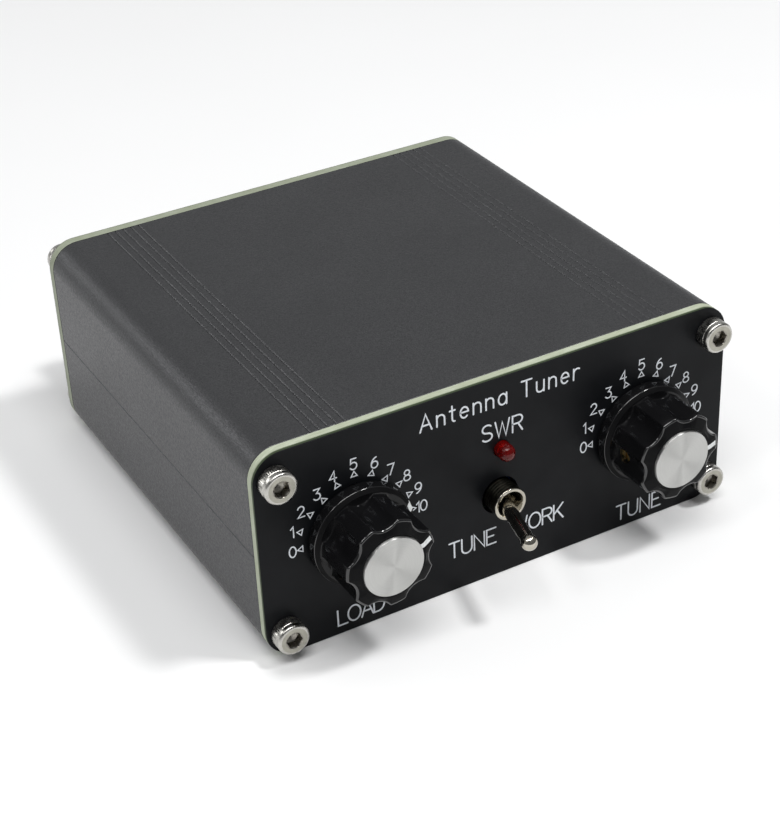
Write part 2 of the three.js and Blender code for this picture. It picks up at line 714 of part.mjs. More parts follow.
function socketGeometry() {
  const block = box([-7.25, 7.25], [-14, -PANEL], [BOARD_TOP - AXIS_Z, 6.7]);
  const barrel = turned([
    [0, -PANEL - 0.5],
    [SOCKET_THREAD, -PANEL - 0.5],
    [SOCKET_THREAD, 4.2],
    [SOCKET_THREAD - 0.3, 4.5],
    [SOCKET_BARREL, 4.5],
    [SOCKET_BARREL, SOCKET_LENGTH],
    [SOCKET_BORE, SOCKET_LENGTH],
    [SOCKET_BORE, 2.5],
    [0, 2.5],
  ], 1);
  const lugs = [-1, 1].map((sign) => {
    const lug = new THREE.CylinderGeometry(1, 1, 1, 10);
    return lug.rotateX(Math.PI / 2).translate(0, 10.5, sign * 5.05);
  });
  return join(block, barrel, ...lugs);
}

function contactGeometry() {
  return turned([
    [0, 2.5], [SOCKET_BORE - 0.05, 2.5], [SOCKET_BORE - 0.05, 3.2], [2.4, 3.2], [2.4, 12.2],
    [0.7, 12.2], [0.7, 6], [0, 6],
  ], 1, 16);
}

function hexNutGeometry(acrossFlats, hole, [from, to]) {
  const circumradius = acrossFlats / Math.sqrt(3);
  return prismAlongY(circle(0, 0, circumradius, 6), [from, to], [circle(0, 0, hole, 24)]);
}

function addSocket(name, x) {
  const group = groupAt(x, REAR, AXIS_Z);
  addPiece(group, `${name}_socket`, socketGeometry(), NICKEL_FINISH);
  addPiece(group, `${name}_socket_contact`, contactGeometry(), PTFE_FINISH);
  addPiece(group, `${name}_socket_nut`, hexNutGeometry(15, SOCKET_THREAD + 0.1, [0, 2.2]), NICKEL_FINISH);
}

function postStudGeometry() {
  const head = prismAlongY(circle(0, 0, 5.2, 6), [-PANEL - 1.8, -PANEL]);
  const shank = rod(POST_STUD, [-PANEL - 0.5, POST_LENGTH], 1);
  const bore = rod(2.05, [1, POST_LENGTH + 1], 1, 16);
  const wireHole = new THREE.CylinderGeometry(1, 1, 8, 12);
  wireHole.rotateZ(Math.PI / 2).translate(0, 5.6, 0);
  return cut(join(head, shank), bore, wireHole);
}

function postCollarGeometry() {
  const hole = POST_STUD + 0.1;
  return turned([
    [hole, 0], [POST_CAP_RADIUS + 0.1, 0], [POST_CAP_RADIUS + 0.1, 3.8], [POST_CAP_RADIUS - 0.3, 4.2],
    [hole, 4.2], [hole, 0],
  ], 1);
}

function postCapGeometry() {
  const hole = POST_STUD + 0.1;
  const mouth = 2.3;
  return turned([
    [hole, 4.5], [POST_CAP_RADIUS - 0.3, 4.5], [POST_CAP_RADIUS, 4.8], [POST_CAP_RADIUS, 14.4],
    [POST_CAP_RADIUS - 0.6, 15], [mouth, 15], [mouth, 13.5], [hole, 13.5], [hole, 4.5],
  ], 1);
}

function addPost(name, x, material) {
  const group = groupAt(x, REAR, AXIS_Z);
  addPiece(group, `${name}_post_stud`, postStudGeometry(), NICKEL_FINISH);
  addPiece(group, `${name}_post_collar`, postCollarGeometry(), material);
  addPiece(group, `${name}_post_cap`, postCapGeometry(), material);
}

// ---- assembly ----

addShells();
addFrontPanel();
addRearPanel();
addCapScrews();
addDial('load', -1, LOAD_POINTER_DEG);
addDial('tune', 1, TUNE_POINTER_DEG);
addSwitch();
addLamp();
addBoard();
addToroid();
addBridge();
addSocket('radio', SOCKET_X);
addSocket('antenna', -SOCKET_X);
addPost('red', POST_X, RED_FINISH);
addPost('black', -POST_X, BLACK_FINISH);

export default object;
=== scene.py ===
import math
from math import cos, pi, radians, sin

import bmesh
import bpy
from mathutils import Matrix, Vector
from mathutils.geometry import tessellate_polygon


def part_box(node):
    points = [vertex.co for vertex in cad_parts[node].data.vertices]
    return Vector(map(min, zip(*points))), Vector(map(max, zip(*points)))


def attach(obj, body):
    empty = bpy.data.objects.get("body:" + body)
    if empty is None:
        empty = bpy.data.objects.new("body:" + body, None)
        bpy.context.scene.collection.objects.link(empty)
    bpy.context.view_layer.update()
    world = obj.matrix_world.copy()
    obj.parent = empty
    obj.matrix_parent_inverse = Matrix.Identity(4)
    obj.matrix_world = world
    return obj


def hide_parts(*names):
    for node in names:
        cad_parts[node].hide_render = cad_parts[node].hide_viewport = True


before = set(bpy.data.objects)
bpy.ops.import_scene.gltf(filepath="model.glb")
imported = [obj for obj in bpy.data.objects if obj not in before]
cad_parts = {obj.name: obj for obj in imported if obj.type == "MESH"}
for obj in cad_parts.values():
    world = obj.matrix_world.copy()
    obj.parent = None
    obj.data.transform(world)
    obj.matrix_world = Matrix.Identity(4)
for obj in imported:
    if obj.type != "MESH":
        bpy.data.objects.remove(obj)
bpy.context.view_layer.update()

# Antenna tuner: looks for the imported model. Lengths are in millimetres and become metres where a
# mesh, light or camera is made. +X is right seen from the front, +Y runs to the back, +Z is up.

MM = 0.001

# ---- places, from the frame ----


def corners(node):
    low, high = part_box(node)
    return low / MM, high / MM


def centre(node):
    low, high = corners(node)
    return (low + high) / 2


CASE_LOW = corners("bottom_shell")[0]
CASE_HIGH = corners("top_shell")[1]
CASE_WIDTH = CASE_HIGH.x - CASE_LOW.x
CASE_HEIGHT = CASE_HIGH.z - CASE_LOW.z
FRONT = corners("front_panel")[0].y
REAR = corners("rear_panel")[1].y
PANEL = CASE_LOW.y - FRONT
DIALS = {"load": centre("load_knob_cap"), "tune": centre("tune_knob_cap")}
# How far each pointer stands short of its scale's end.
POINTER_DEG = {"load": 19, "tune": 3}
SWITCH = centre("toggle_bushing")
LENS_FLANGE = 1.9
LAMP = Vector((centre("lamp").x, FRONT, corners("lamp")[1].z - LENS_FLANGE))


def on_front(place):
    """Local x runs right, y up and z out of the front panel."""
    return Matrix.Translation(Vector((place.x, FRONT, place.z)) * MM) @ Matrix.Rotation(pi / 2, 4, "X")


def on_rear(place):
    """Local x runs right seen from behind, y up and z out of the rear panel."""
    stand = Matrix.Translation(Vector((place.x, REAR, place.z)) * MM) @ Matrix.Rotation(pi, 4, "Z")
    return stand @ Matrix.Rotation(pi / 2, 4, "X")


def about_z(turn_deg):
    return Matrix.Rotation(radians(turn_deg), 4, "Z")


# ---- outlines ----

# A mitred corner is stretched by at most one over this, in an outline and in a printed stroke.
OUTLINE_MITRE = 0.5
STROKE_MITRE = 0.55


def arc(x, y, radius_x, radius_y, start_deg, stop_deg, steps=10):
    """Points along an elliptical arc."""
    turn = [radians(start_deg + (stop_deg - start_deg) * i / steps) for i in range(steps + 1)]
    return [(x + radius_x * cos(a), y + radius_y * sin(a)) for a in turn]


def circle_arc(x, y, radius, start_deg, stop_deg, steps):
    return arc(x, y, radius, radius, start_deg, stop_deg, steps)


def rounded(points, steps=4):
    """An open profile of (x, y) points, where a third number rounds that corner with an arc."""
    result = []
    for i, (x, y, *radius) in enumerate(points):
        if not radius:
            result.append((x, y))
            continue
        corner = Vector((x, y))
        back = (Vector(points[i - 1][:2]) - corner).normalized()
        ahead = (Vector(points[i + 1][:2]) - corner).normalized()
        half = back.angle(ahead) / 2
        middle = corner + (back + ahead).normalized() * radius[0] / sin(half)
        start = corner + back * radius[0] / math.tan(half) - middle
        sweep = start.angle_signed(corner + ahead * radius[0] / math.tan(half) - middle)
        for k in range(steps + 1):
            spoke = start @ Matrix.Rotation(sweep * k / steps, 2)
            result.append(tuple(middle + spoke))
    return result


def rounded_rectangle(width, height, radius, inset=0.0, steps=10):
    """Corner points of a rounded rectangle that stands on y = 0, centred on x = 0."""
    x = width / 2 - radius
    high = height - radius
    points = []
    for k, place in enumerate([(x, radius), (x, high), (-x, high), (-x, radius)]):
        points += circle_arc(*place, radius - inset, 90 * k - 90, 90 * k, steps)
    return points


def shrunk(outline, depth):
    """A closed counterclockwise outline moved inwards by depth, with mitred corners."""
    result = []
    for i, point in enumerate(outline):
        here = Vector(point)
        before = (here - Vector(outline[i - 1])).normalized()
        after = (Vector(outline[(i + 1) % len(outline)]) - here).normalized()
        normal = Vector((-before.y - after.y, before.x + after.x)).normalized()
        stretch = max(normal.dot(Vector((-before.y, before.x))), OUTLINE_MITRE)
        result.append(tuple(here + normal * depth / stretch))
    return result


# ---- solids: each is (vertices, faces) or (vertices, faces, material number of each face) ----

HOLE_POINTS = 48
ROUND_END_ANGLES = (0.5, 0.95, 1.35)


def ring(radius, height, count):
    """Points round local z. The radius is a number or a function of the angle."""
    angles = [2 * pi * i / count for i in range(count)]
    radii = [radius(a) if callable(radius) else radius for a in angles]
    return [(r * cos(a), r * sin(a), height) for r, a in zip(radii, angles)]


def quads(low, high, count):
    """Quads between two rings of that many points, whose first vertices are low and high."""
    steps = [(i, (i + 1) % count) for i in range(count)]
    return [(low + i, low + j, high + j, high + i) for i, j in steps]


def loft(rings, loop=False):
    """Quads between rings with equally many points, closed by end caps or back to the first ring."""
    count = len(rings[0])
    vertices = [point for each in rings for point in each]
    faces = []
    for k in range(len(rings) if loop else len(rings) - 1):
        faces += quads(k * count, (k + 1) % len(rings) * count, count)
    if not loop:
        faces.append(tuple(range(count)))
        faces.append(tuple(range(len(vertices) - count, len(vertices))))
    return vertices, faces


def rings_of(profile, count, steps=4):
    """Rings round local z from (radius, height) points, where a third number rounds that corner."""
    return [ring(radius, height, count) for radius, height in rounded(profile, steps)]


def turned(profile, count=64, loop=False, steps=4):
    """A turned solid round local z, whose profile is read as in rings_of."""
    return loft(rings_of(profile, count, steps), loop)


def thread_rings(radius, depth, pitch, start, stop, steps, count):
    """Rings of a screw thread: each ring's radius follows the helix at its height."""
    def at(height):
        return lambda angle: radius - depth * abs(2 * ((height / pitch - angle / (2 * pi)) % 1) - 1)

    heights = [start + (stop - start) * k / steps for k in range(steps + 1)]
    return [ring(at(height), height, count) for height in heights]


def moved(solid, matrix):
    vertices, *rest = solid
    return [tuple(matrix @ Vector(v)) for v in vertices], *rest


def merged(*solids):
    vertices = []
    faces = []
    for more, new_faces in solids:
        faces += [tuple(len(vertices) + i for i in face) for face in new_faces]
        vertices += more
    return vertices, faces


def block(low, high, edge=0.15):
    """A box whose upright edges are rounded and whose ends are chamfered, lying along local z."""
    size = Vector(high) - Vector(low)
    shift = Matrix.Translation(((low[0] + high[0]) / 2, low[1], 0))

    def section(inset, height):
        outline = rounded_rectangle(size.x, size.y, 3 * edge, inset, 4)
        return [(x, y, height) for x, y in outline]

    ends = [section(edge, low[2]), section(0, low[2] + edge)]
    ends += [section(0, high[2] - edge), section(edge, high[2])]
    return moved(loft(ends), shift)


def along_y(outline, y_from, y_to, chamfer):
    """A closed X-Z outline extruded along Y, with both ends slightly chamfered."""
    small = shrunk(outline, chamfer)
    steps = [(small, y_from), (outline, y_from + chamfer), (outline, y_to - chamfer), (small, y_to)]
    return loft([[(x, y, z) for x, z in points] for points, y in steps])


def plate(holes, y_from, y_to, chamfer):
    """An end panel with round holes, whose sawn edge has material 1."""
    small, full = (rounded_rectangle(CASE_WIDTH, CASE_HEIGHT, CORNER, inset) for inset in (chamfer, 0))
    rims = [circle_arc(x, z, radius, 0, 360, HOLE_POINTS)[:-1] for x, z, radius in holes]
    layers = [(small, y_from), (full, y_from + chamfer), (full, y_to - chamfer), (small, y_to)]
    layers += [(rim, y) for y in (y_from, y_to) for rim in rims]
    vertices = [(x, y, z) for points, y in layers for x, z in points]
    size = len(small)
    hole_start = 4 * size
    hole_total = HOLE_POINTS * len(rims)
    faces = []
    for k in range(3):
        faces += quads(k * size, (k + 1) * size, size)
    for start in range(hole_start, hole_start + hole_total, HOLE_POINTS):
        faces += quads(start, start + hole_total, HOLE_POINTS)
    flat = [[Vector((x, z, 0)) for x, z in points] for points in (small, *rims)]
    for triangle in tessellate_polygon(flat):
        for first, hole_first in ((0, hole_start), (3 * size, hole_start + hole_total)):
            faces.append(tuple(first + i if i < size else hole_first + i - size for i in triangle))
    return vertices, faces, [1 if i // size == 1 else 0 for i in range(len(faces))]


def stroke(points, width, thick, closed=False):
    """A flat ribbon along (x, y) points, from z = -thick to thick, with round ends when it is open."""
    path = [Vector(p) for p in points]
    spots = []
    for i, here in enumerate(path):
        before = path[i - 1] if i or closed else here
        after = path[(i + 1) % len(path)] if i + 1 < len(path) or closed else here
        arriving = (here - before).normalized() if before != here else (after - here).normalized()
        leaving = (after - here).normalized() if after != here else arriving
        side = Vector((-arriving.y - leaving.y, arriving.x + leaving.x)).normalized()
        stretch = max(side.dot(Vector((-arriving.y, arriving.x))), STROKE_MITRE)
        spots.append((here, side, width / 2 / stretch))
    if not closed:
        for end, sign in ((0, -1), (-1, 1)):
            here, side, half = spots[end]
            forward = Vector((side.y, -side.x)) * sign
            tips = [(here + forward * half * sin(a), side, half * cos(a)) for a in ROUND_END_ANGLES]
            spots = spots + tips if sign > 0 else tips[::-1] + spots
    rings = []
    for here, side, half in spots:
        left = here + side * half
        right = here - side * half
        rings.append([(*left, thick), (*right, thick), (*right, -thick), (*left, -thick)])
    return loft(rings, closed)


# ---- pieces ----

SHARP_DEG = 32


def add_object(name, data, place=None):
    made = bpy.data.objects.new(name, data)
    bpy.context.scene.collection.objects.link(made)
    made.matrix_world = place or Matrix.Identity(4)
    return made


def mesh_of(name, solid):
    mesh = bpy.data.meshes.new(name)
    mesh.from_pydata([Vector(v) * MM for v in solid[0]], [], solid[1])
    return mesh


def smooth_mesh(mesh, sharp_deg=SHARP_DEG):
    grid = bmesh.new()
    grid.from_mesh(mesh)
    bmesh.ops.recalc_face_normals(grid, faces=grid.faces)
    grid.to_mesh(mesh)
    grid.free()
    mesh.shade_smooth()
    mesh.set_sharp_from_angle(angle=radians(sharp_deg))


def piece(name, body, looks, solid, place=None, replaces=(), sharp_deg=SHARP_DEG):
    """A new object on a body, made from a solid in millimetres."""
    mesh = mesh_of(name, solid)
    for look in looks if isinstance(looks, list) else [looks]:
        mesh.materials.append(look)
    if len(solid) > 2:
        mesh.polygons.foreach_set("material_index", solid[2])
    smooth_mesh(mesh, sharp_deg)
    made = add_object(name, mesh, place)
    shading = made.modifiers.new("even shading", "WEIGHTED_NORMAL")
    shading.keep_sharp = True
    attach(made, body)
    if replaces:
        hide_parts(*replaces)
    return made


def carve(target, solid, place):
    """Cuts a solid out of a piece's mesh."""
    mesh = mesh_of("cutter", solid)
    smooth_mesh(mesh)
    cutter = add_object("cutter", mesh, place)
    boolean = target.modifiers.new("cut", "BOOLEAN")
    boolean.object = cutter
    boolean.solver = "EXACT"
    target.modifiers.move(len(target.modifiers) - 1, 0)
    bpy.context.view_layer.update()
    shading = target.modifiers["even shading"]
    shading.show_viewport = False
    carved = bpy.data.meshes.new_from_object(target.evaluated_get(bpy.context.evaluated_depsgraph_get()))
    shading.show_viewport = True
    target.modifiers.remove(boolean)
    target.data = carved
    smooth_mesh(carved)
    bpy.data.objects.remove(cutter)


def dress(node, look, edge=0.0):
    """Gives a CAD node its material and, where asked, softened edges."""
    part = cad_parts[node]
    part.data.materials.clear()
    part.data.materials.append(look)
    if edge:
        part.modifiers.new("merged corners", "WELD").merge_threshold = 1e-6
        bevel = part.modifiers.new("soft edges", "BEVEL")
        bevel.width = edge * MM
        bevel.segments = 2
        bevel.angle_limit = radians(40)


# ---- materials ----


class Look:
    """A procedural material: one Principled shader and what feeds it."""

    def __init__(self, name, color, roughness, metallic=0.0, sockets=None):
        self.material = bpy.data.materials.new(name)
        self.material.use_nodes = True
        self.nodes = self.material.node_tree.nodes
        self.links = self.material.node_tree.links
        self.shader = self.nodes["Principled BSDF"]
        self.coordinates = self.node("ShaderNodeTexCoord").outputs["Object"]
        self.normal = None
        values = {"Base Color": (*color, 1), "Roughness": roughness, "Metallic": metallic, **(sockets or {})}
        for socket, value in values.items():
            self.shader.inputs[socket].default_value = value

    def node(self, kind, inputs=None, **settings):
        made = self.nodes.new(kind)
        for setting, value in settings.items():
            setattr(made, setting, value)
        for socket, value in (inputs or {}).items():
            if isinstance(value, bpy.types.NodeSocket):
                self.links.new(value, made.inputs[socket])
            else:
                made.inputs[socket].default_value = value
        return made

    def noise(self, grain, detail=2.0, stretch=(1, 1, 1)):
        """Noise with grains of that size; stretch below 1 draws them out along an axis."""
        mapping = self.node("ShaderNodeMapping", {"Vector": self.coordinates, "Scale": stretch})
        inputs = {"Vector": mapping.outputs[0], "Scale": 1 / (grain * MM), "Detail": detail}
        return self.node("ShaderNodeTexNoise", inputs).outputs[0]

    def texture(self, kind, scale, **settings):
        return self.node(kind, {"Vector": self.coordinates, "Scale": scale}, **settings).outputs

    def along(self, axis):
        """The place along an object axis, in metres."""
        return self.node("ShaderNodeSeparateXYZ", {0: self.coordinates}).outputs[axis]

    def math(self, operation, *values):
        return self.node("ShaderNodeMath", dict(enumerate(values)), operation=operation).outputs[0]

    def spread(self, factor, low, high, start=0.3, stop=0.7):
        """The factor's range start..stop turned into low..high."""
        inputs = {"Value": factor, "From Min": start, "From Max": stop, "To Min": low, "To Max": high}
        return self.node("ShaderNodeMapRange", inputs).outputs[0]

    def mix(self, factor, first, second):
        def color(value):
            return value if isinstance(value, bpy.types.NodeSocket) else (*value, 1)

        inputs = {0: factor, 6: color(first), 7: color(second)}
        return self.node("ShaderNodeMix", inputs, data_type="RGBA").outputs[2]

    def feed(self, socket, source):
        self.links.new(source, self.shader.inputs[socket])
        return self

    def paint(self, factor, first, second):
        return self.feed("Base Color", self.mix(factor, first, second))

    def tone(self, factor, dark, light):
        """Colour from dark to light with a noise."""
        return self.paint(self.spread(factor, 0, 1), dark, light)

    def gloss(self, factor, low, high):
        """Roughness from low to high with a noise."""
        return self.feed("Roughness", self.spread(factor, low, high))

    def relief(self, height, depth, strength=1.0):
        """Bump of that depth, laid over the bump already there."""
        inputs = {"Height": height, "Distance": depth * MM, "Strength": strength}
        if self.normal:
            inputs["Normal"] = self.normal
        self.normal = self.node("ShaderNodeBump", inputs).outputs[0]
        self.links.new(self.normal, self.shader.inputs["Normal"])
        return self


def moulded(name, dark, light, roughness, texture=0.006):
    """Moulded plastic: faint mottling, uneven gloss and a very fine surface texture."""
    look = Look(name, light, roughness)
    look.tone(look.noise(3.0, 3.0), dark, light)
    look.gloss(look.noise(1.2, 4.0), roughness * 0.85, roughness * 1.2)
    look.relief(look.noise(0.35, 3.0), texture)
    return look.material


def metal(name, dark, light, roughness, depth=0.004, grain=0.5):
    """Plated or turned metal: slight tone changes, smudged gloss and fine tool marks."""
    look = Look(name, light, roughness, 1.0)
    look.tone(look.noise(1.6, 4.0), dark, light)
    look.gloss(look.noise(0.8, 3.0), roughness * 0.7, roughness * 1.5)
    look.relief(look.noise(grain, 2.0), depth)
    return look.material


def case_look():
    """Sandblasted, dark anodised aluminium: grainy, with brighter and glossier single grains."""
    look = Look("case_anodised", (0.066, 0.066, 0.069), 0.46, 0.75)
    fine = look.noise(0.16, 2.0)
    coarse = look.noise(0.42, 3.0)
    wide = look.noise(14.0, 2.0)
    tone = look.mix(look.spread(fine, 0, 1), (0.050, 0.0505, 0.053), (0.106, 0.1065, 0.11))
    look.paint(look.spread(wide, 0.0, 0.25), tone, (0.05, 0.05, 0.053))
    look.gloss(coarse, 0.34, 0.52)
    look.relief(coarse, 0.06, 0.8)
    look.relief(fine, 0.03, 0.8)
    return look.material


def mask_look():
    """Black solder mask: satin gloss over the faint weave of the glass cloth."""
    look = Look("panel_mask", (0.006, 0.0065, 0.0075), 0.34, 0.0, {"Specular IOR Level": 0.11})
    warp, weft = (look.texture("ShaderNodeTexWave", 700.0, bands_direction=axis)[1] for axis in "XZ")
    look.tone(look.noise(7.0, 3.0), (0.0042, 0.0047, 0.0057), (0.007, 0.0075, 0.0087))
    look.gloss(look.noise(2.5, 4.0), 0.32, 0.42)
    look.relief(look.math("MULTIPLY", warp, weft), 0.0012)
    look.relief(look.noise(0.9, 2.0), 0.004)
    return look.material


LAMINATE_COLORS = ((0.37, 0.41, 0.30), (0.53, 0.57, 0.46), (0.33, 0.36, 0.24))


def laminate_look(name, outer_y, inward, line, shade):
    """Sawn glass-fibre edge: pale green, with layers, and a dark green line by the outer face."""
    # The last argument scales every colour of this laminate down; a value below 1 is painted shade, a shaded
    # copy of the same laminate.
    dark, light, aged = (tuple(shade * c for c in color) for color in LAMINATE_COLORS)
    look = Look(name, light, 0.6, 0.0, {"Specular IOR Level": 0.3})
    layers = look.noise(0.12, 2.0, (0.08, 1, 0.08))
    pale = look.mix(look.spread(layers, 0, 1), dark, light)
    worn = look.mix(look.spread(look.noise(5.0, 3.0), 0, 0.5), pale, aged)
    depth = look.math("MULTIPLY", look.math("SUBTRACT", look.along("Y"), outer_y * MM), inward)
    blur = 0.15
    near_face = look.spread(depth, 1.0, 0.0, (line - blur) * MM, (line + blur) * MM)
    look.paint(near_face, worn, (0.035, 0.052, 0.022))
    look.relief(look.noise(0.25, 3.0, (0.3, 1, 0.3)), 0.03, 0.7)
    return look.material


def knob_look(name, shine):
    """Glossy black phenolic with faint moulding flow."""
    look = Look(name, (0.004, 0.004, 0.0045), 0.12, 0.0, {"Specular IOR Level": shine})
    look.gloss(look.noise(1.8, 4.0), 0.09, 0.15)
    look.paint(look.noise(4.0, 2.0), (0.0035, 0.0035, 0.004), (0.007, 0.007, 0.0075))
    look.relief(look.noise(1.4, 2.0), 0.006)
    return look.material


def knob_face_look():
    """The knob's machined face and the cone of its skirt: satin black, with faint rings."""
    look = Look("knob_face", (0.004, 0.004, 0.0045), 0.45, 0.0, {"Specular IOR Level": 0.07})
    rings = look.texture("ShaderNodeTexWave", 900.0, wave_type="RINGS", rings_direction="Z")
    look.gloss(look.noise(0.6, 3.0), 0.36, 0.5)
    look.paint(look.noise(0.5, 3.0), (0.003, 0.003, 0.0034), (0.005, 0.005, 0.0054))
    look.relief(rings[1], 0.002)
    return look.material


def spun_look():
    """A spun aluminium disc: fine circles, and a sheen that stands across them like a bow tie."""
    sockets = {"Anisotropic": 0.9, "Anisotropic Rotation": 0.25}
    look = Look("spun_disc", (0.55, 0.55, 0.535), 0.3, 1.0, sockets)
    tangent = look.node("ShaderNodeTangent", direction_type="RADIAL", axis="Z")
    look.feed("Tangent", tangent.outputs[0])
    flat = look.node("ShaderNodeVectorMath", {0: look.coordinates, 1: (1, 1, 0)}, operation="MULTIPLY")
    radius = look.node("ShaderNodeVectorMath", {0: flat.outputs[0]}, operation="LENGTH").outputs["Value"]
    inputs = {"W": radius, "Scale": 9000.0, "Detail": 3.0}
    circles = look.node("ShaderNodeTexNoise", inputs, noise_dimensions="1D").outputs[0]
    look.tone(circles, (0.50, 0.50, 0.485), (0.57, 0.57, 0.555))
    look.gloss(circles, 0.36, 0.44)
    look.relief(circles, 0.0004)
    return look.material


def ink_look(name, color):
    """Screen-printed ink: nearly even, with slightly broken tone."""
    look = Look(name, color, 0.55, 0.0, {"Specular IOR Level": 0.3})
    look.tone(look.noise(0.3, 3.0), tuple(0.8 * c for c in color), color)
    look.relief(look.noise(0.2, 2.0), 0.004)
    return look.material


def lens_look():
    """Tinted clear epoxy."""
    sockets = {"Transmission Weight": 0.7, "IOR": 1.38, "Specular IOR Level": 0.25}
    sockets |= {"Coat Weight": 0.15, "Coat Roughness": 0.03}
    look = Look("lamp_lens", (0.25, 0.003, 0.0025), 0.08, 0.0, sockets)
    look.paint(look.noise(0.8, 2.0), (0.19, 0.0018, 0.0018), (0.32, 0.004, 0.003))
    look.gloss(look.noise(0.5, 2.0), 0.05, 0.12)
    look.relief(look.noise(0.6, 1.0), 0.004)
    return look.material


def board_look():
    """Green solder mask over copper areas with narrow gaps between them."""
    look = Look("board_mask", (0.01, 0.08, 0.03), 0.4)
    cells = look.texture("ShaderNodeTexVoronoi", 110.0, feature="DISTANCE_TO_EDGE")
    copper = look.spread(cells["Distance"], 0, 1, 0.02, 0.035)
    look.paint(copper, (0.006, 0.045, 0.018), (0.012, 0.092, 0.036))
    look.gloss(look.noise(2.0, 3.0), 0.32, 0.48)
    look.relief(copper, 0.02)
    return look.material


def banded_look(name, node, body, bands):
    """A lacquered axial part that lies along X, with painted bands at shares of its half length."""
    look = Look(name, body, 0.35)
    half_length = (corners(node)[1].x - corners(node)[0].x) / 2
    from_middle = look.math("SUBTRACT", look.along("X"), centre(node).x * MM)
    place = look.math("DIVIDE", from_middle, half_length * MM)
    paint = look.mix(look.noise(0.6, 2.0), tuple(0.85 * c for c in body), body)
    for middle, color in bands:
        away = look.math("ABSOLUTE", look.math("SUBTRACT", place, middle))
        paint = look.mix(look.spread(away, 1.0, 0.0, 0.07, 0.09), paint, color)
    look.feed("Base Color", paint)
    look.relief(look.noise(0.3, 2.0), 0.01)
    return look.material


CASE_LOOK = case_look()
MASK_LOOK = mask_look()
KNOB_LOOK = knob_look("knob_gloss", 0.24)
KNOB_EDGE_LOOK = knob_look("knob_polished_edge", 0.85)
KNOB_FACE_LOOK = knob_face_look()
SPUN_LOOK = spun_look()
SCREW_LOOK = metal("screw_nickel", (0.44, 0.43, 0.40), (0.58, 0.565, 0.53), 0.24, 0.005)
SCREW_FACE_LOOK = metal("screw_face", (0.33, 0.32, 0.275), (0.44, 0.425, 0.37), 0.36, 0.006, 0.25)
# The socket's metal is coloured darker than the head's: painted shade inside the hex recess.
SCREW_SOCKET_SHADE_LOOK = metal("screw_socket_painted_shade", (0.24, 0.225, 0.20), (0.40, 0.38, 0.34), 0.3, 0.004, 0.3)
NICKEL_LOOK = metal("switch_nickel", (0.40, 0.375, 0.32), (0.56, 0.53, 0.46), 0.13)
BRASS_LOOK = metal("turned_brass", (0.66, 0.45, 0.14), (0.86, 0.62, 0.24), 0.26)
SHAFT_LOOK = metal("shaft_aluminium", (0.58, 0.58, 0.59), (0.70, 0.70, 0.71), 0.3)
INK_LOOK = ink_look("panel_ink", (0.76, 0.79, 0.83))
POINTER_LOOK = ink_look("pointer_paint", (0.80, 0.82, 0.82))
# The bushing's thread is coloured near black, unlike its nickel mouth: painted shade and a painted dark
# reflection on its side.
THREAD_SHADE_LOOK = metal("thread_painted_shade", (0.005, 0.005, 0.004), (0.014, 0.0135, 0.0105), 0.38)
LENS_LOOK = lens_look()
PTFE_LOOK = moulded("ptfe", (0.74, 0.73, 0.69), (0.84, 0.83, 0.79), 0.45)
RED_LOOK = moulded("post_red", (0.34, 0.008, 0.010), (0.44, 0.013, 0.014), 0.24)
BLACK_LOOK = moulded("post_black", (0.008, 0.008, 0.009), (0.014, 0.014, 0.015), 0.24)
CAPACITOR_LOOK = moulded("capacitor_shell", (0.66, 0.64, 0.56), (0.76, 0.74, 0.66), 0.4)
SWITCH_LOOK = moulded("switch_shell", (0.012, 0.065, 0.24), (0.02, 0.09, 0.32), 0.45)
CORE_LOOK = moulded("core_paint", (0.32, 0.02, 0.012), (0.46, 0.035, 0.02), 0.5, 0.02)
COPPER_LOOK = metal("winding_copper", (0.46, 0.13, 0.035), (0.62, 0.22, 0.07), 0.22)
LINK_LOOK = metal("link_copper", (0.26, 0.07, 0.02), (0.38, 0.11, 0.03), 0.22)
BOARD_LOOK = board_look()
BLACK_BAND = (0.01, 0.01, 0.01)
RESISTOR_BANDS = [
    (-0.6, (0.02, 0.22, 0.05)), (-0.3, (0.02, 0.06, 0.3)), (0.0, BLACK_BAND), (0.6, (0.25, 0.08, 0.02)),
]
RESISTOR_LOOK = banded_look("resistor_lacquer", "bridge_resistor_1", (0.16, 0.36, 0.55), RESISTOR_BANDS)
DIODE_LOOK = banded_look("diode_glass", "detector_diode", (0.48, 0.13, 0.04), [(0.6, BLACK_BAND)])

# ---- case ----

CORNER = 5.0
WALL = 2.0
EDGE = 0.1
GROOVE_FIRST_X = 26.85
GROOVE_PITCH = 1.5
GROOVE_COUNT = 5
GROOVE_WIDTH = 0.42
GROOVE_DEPTH = 0.22
SEAM_TONGUE = 0.9
SEAM_HEIGHT = 1.0
SEAM_GAP = 0.1
SEAM_CHAMFER = 0.16
RIB_DEPTH = 1.5
RIB_THICK = 1.2
SLOT_SPACE = 0.2
CHANNEL_BOSS = 3.2
CHANNEL_RADIUS = 1.6
CHANNEL_MOUTH = 0.7
INWARD_DEG = 135
SCREW_TURNS = {"upper_left": 8, "upper_right": 35, "lower_left": 22, "lower_right": 50}
SCREWS = {place: centre("front_screw_" + place) for place in SCREW_TURNS}


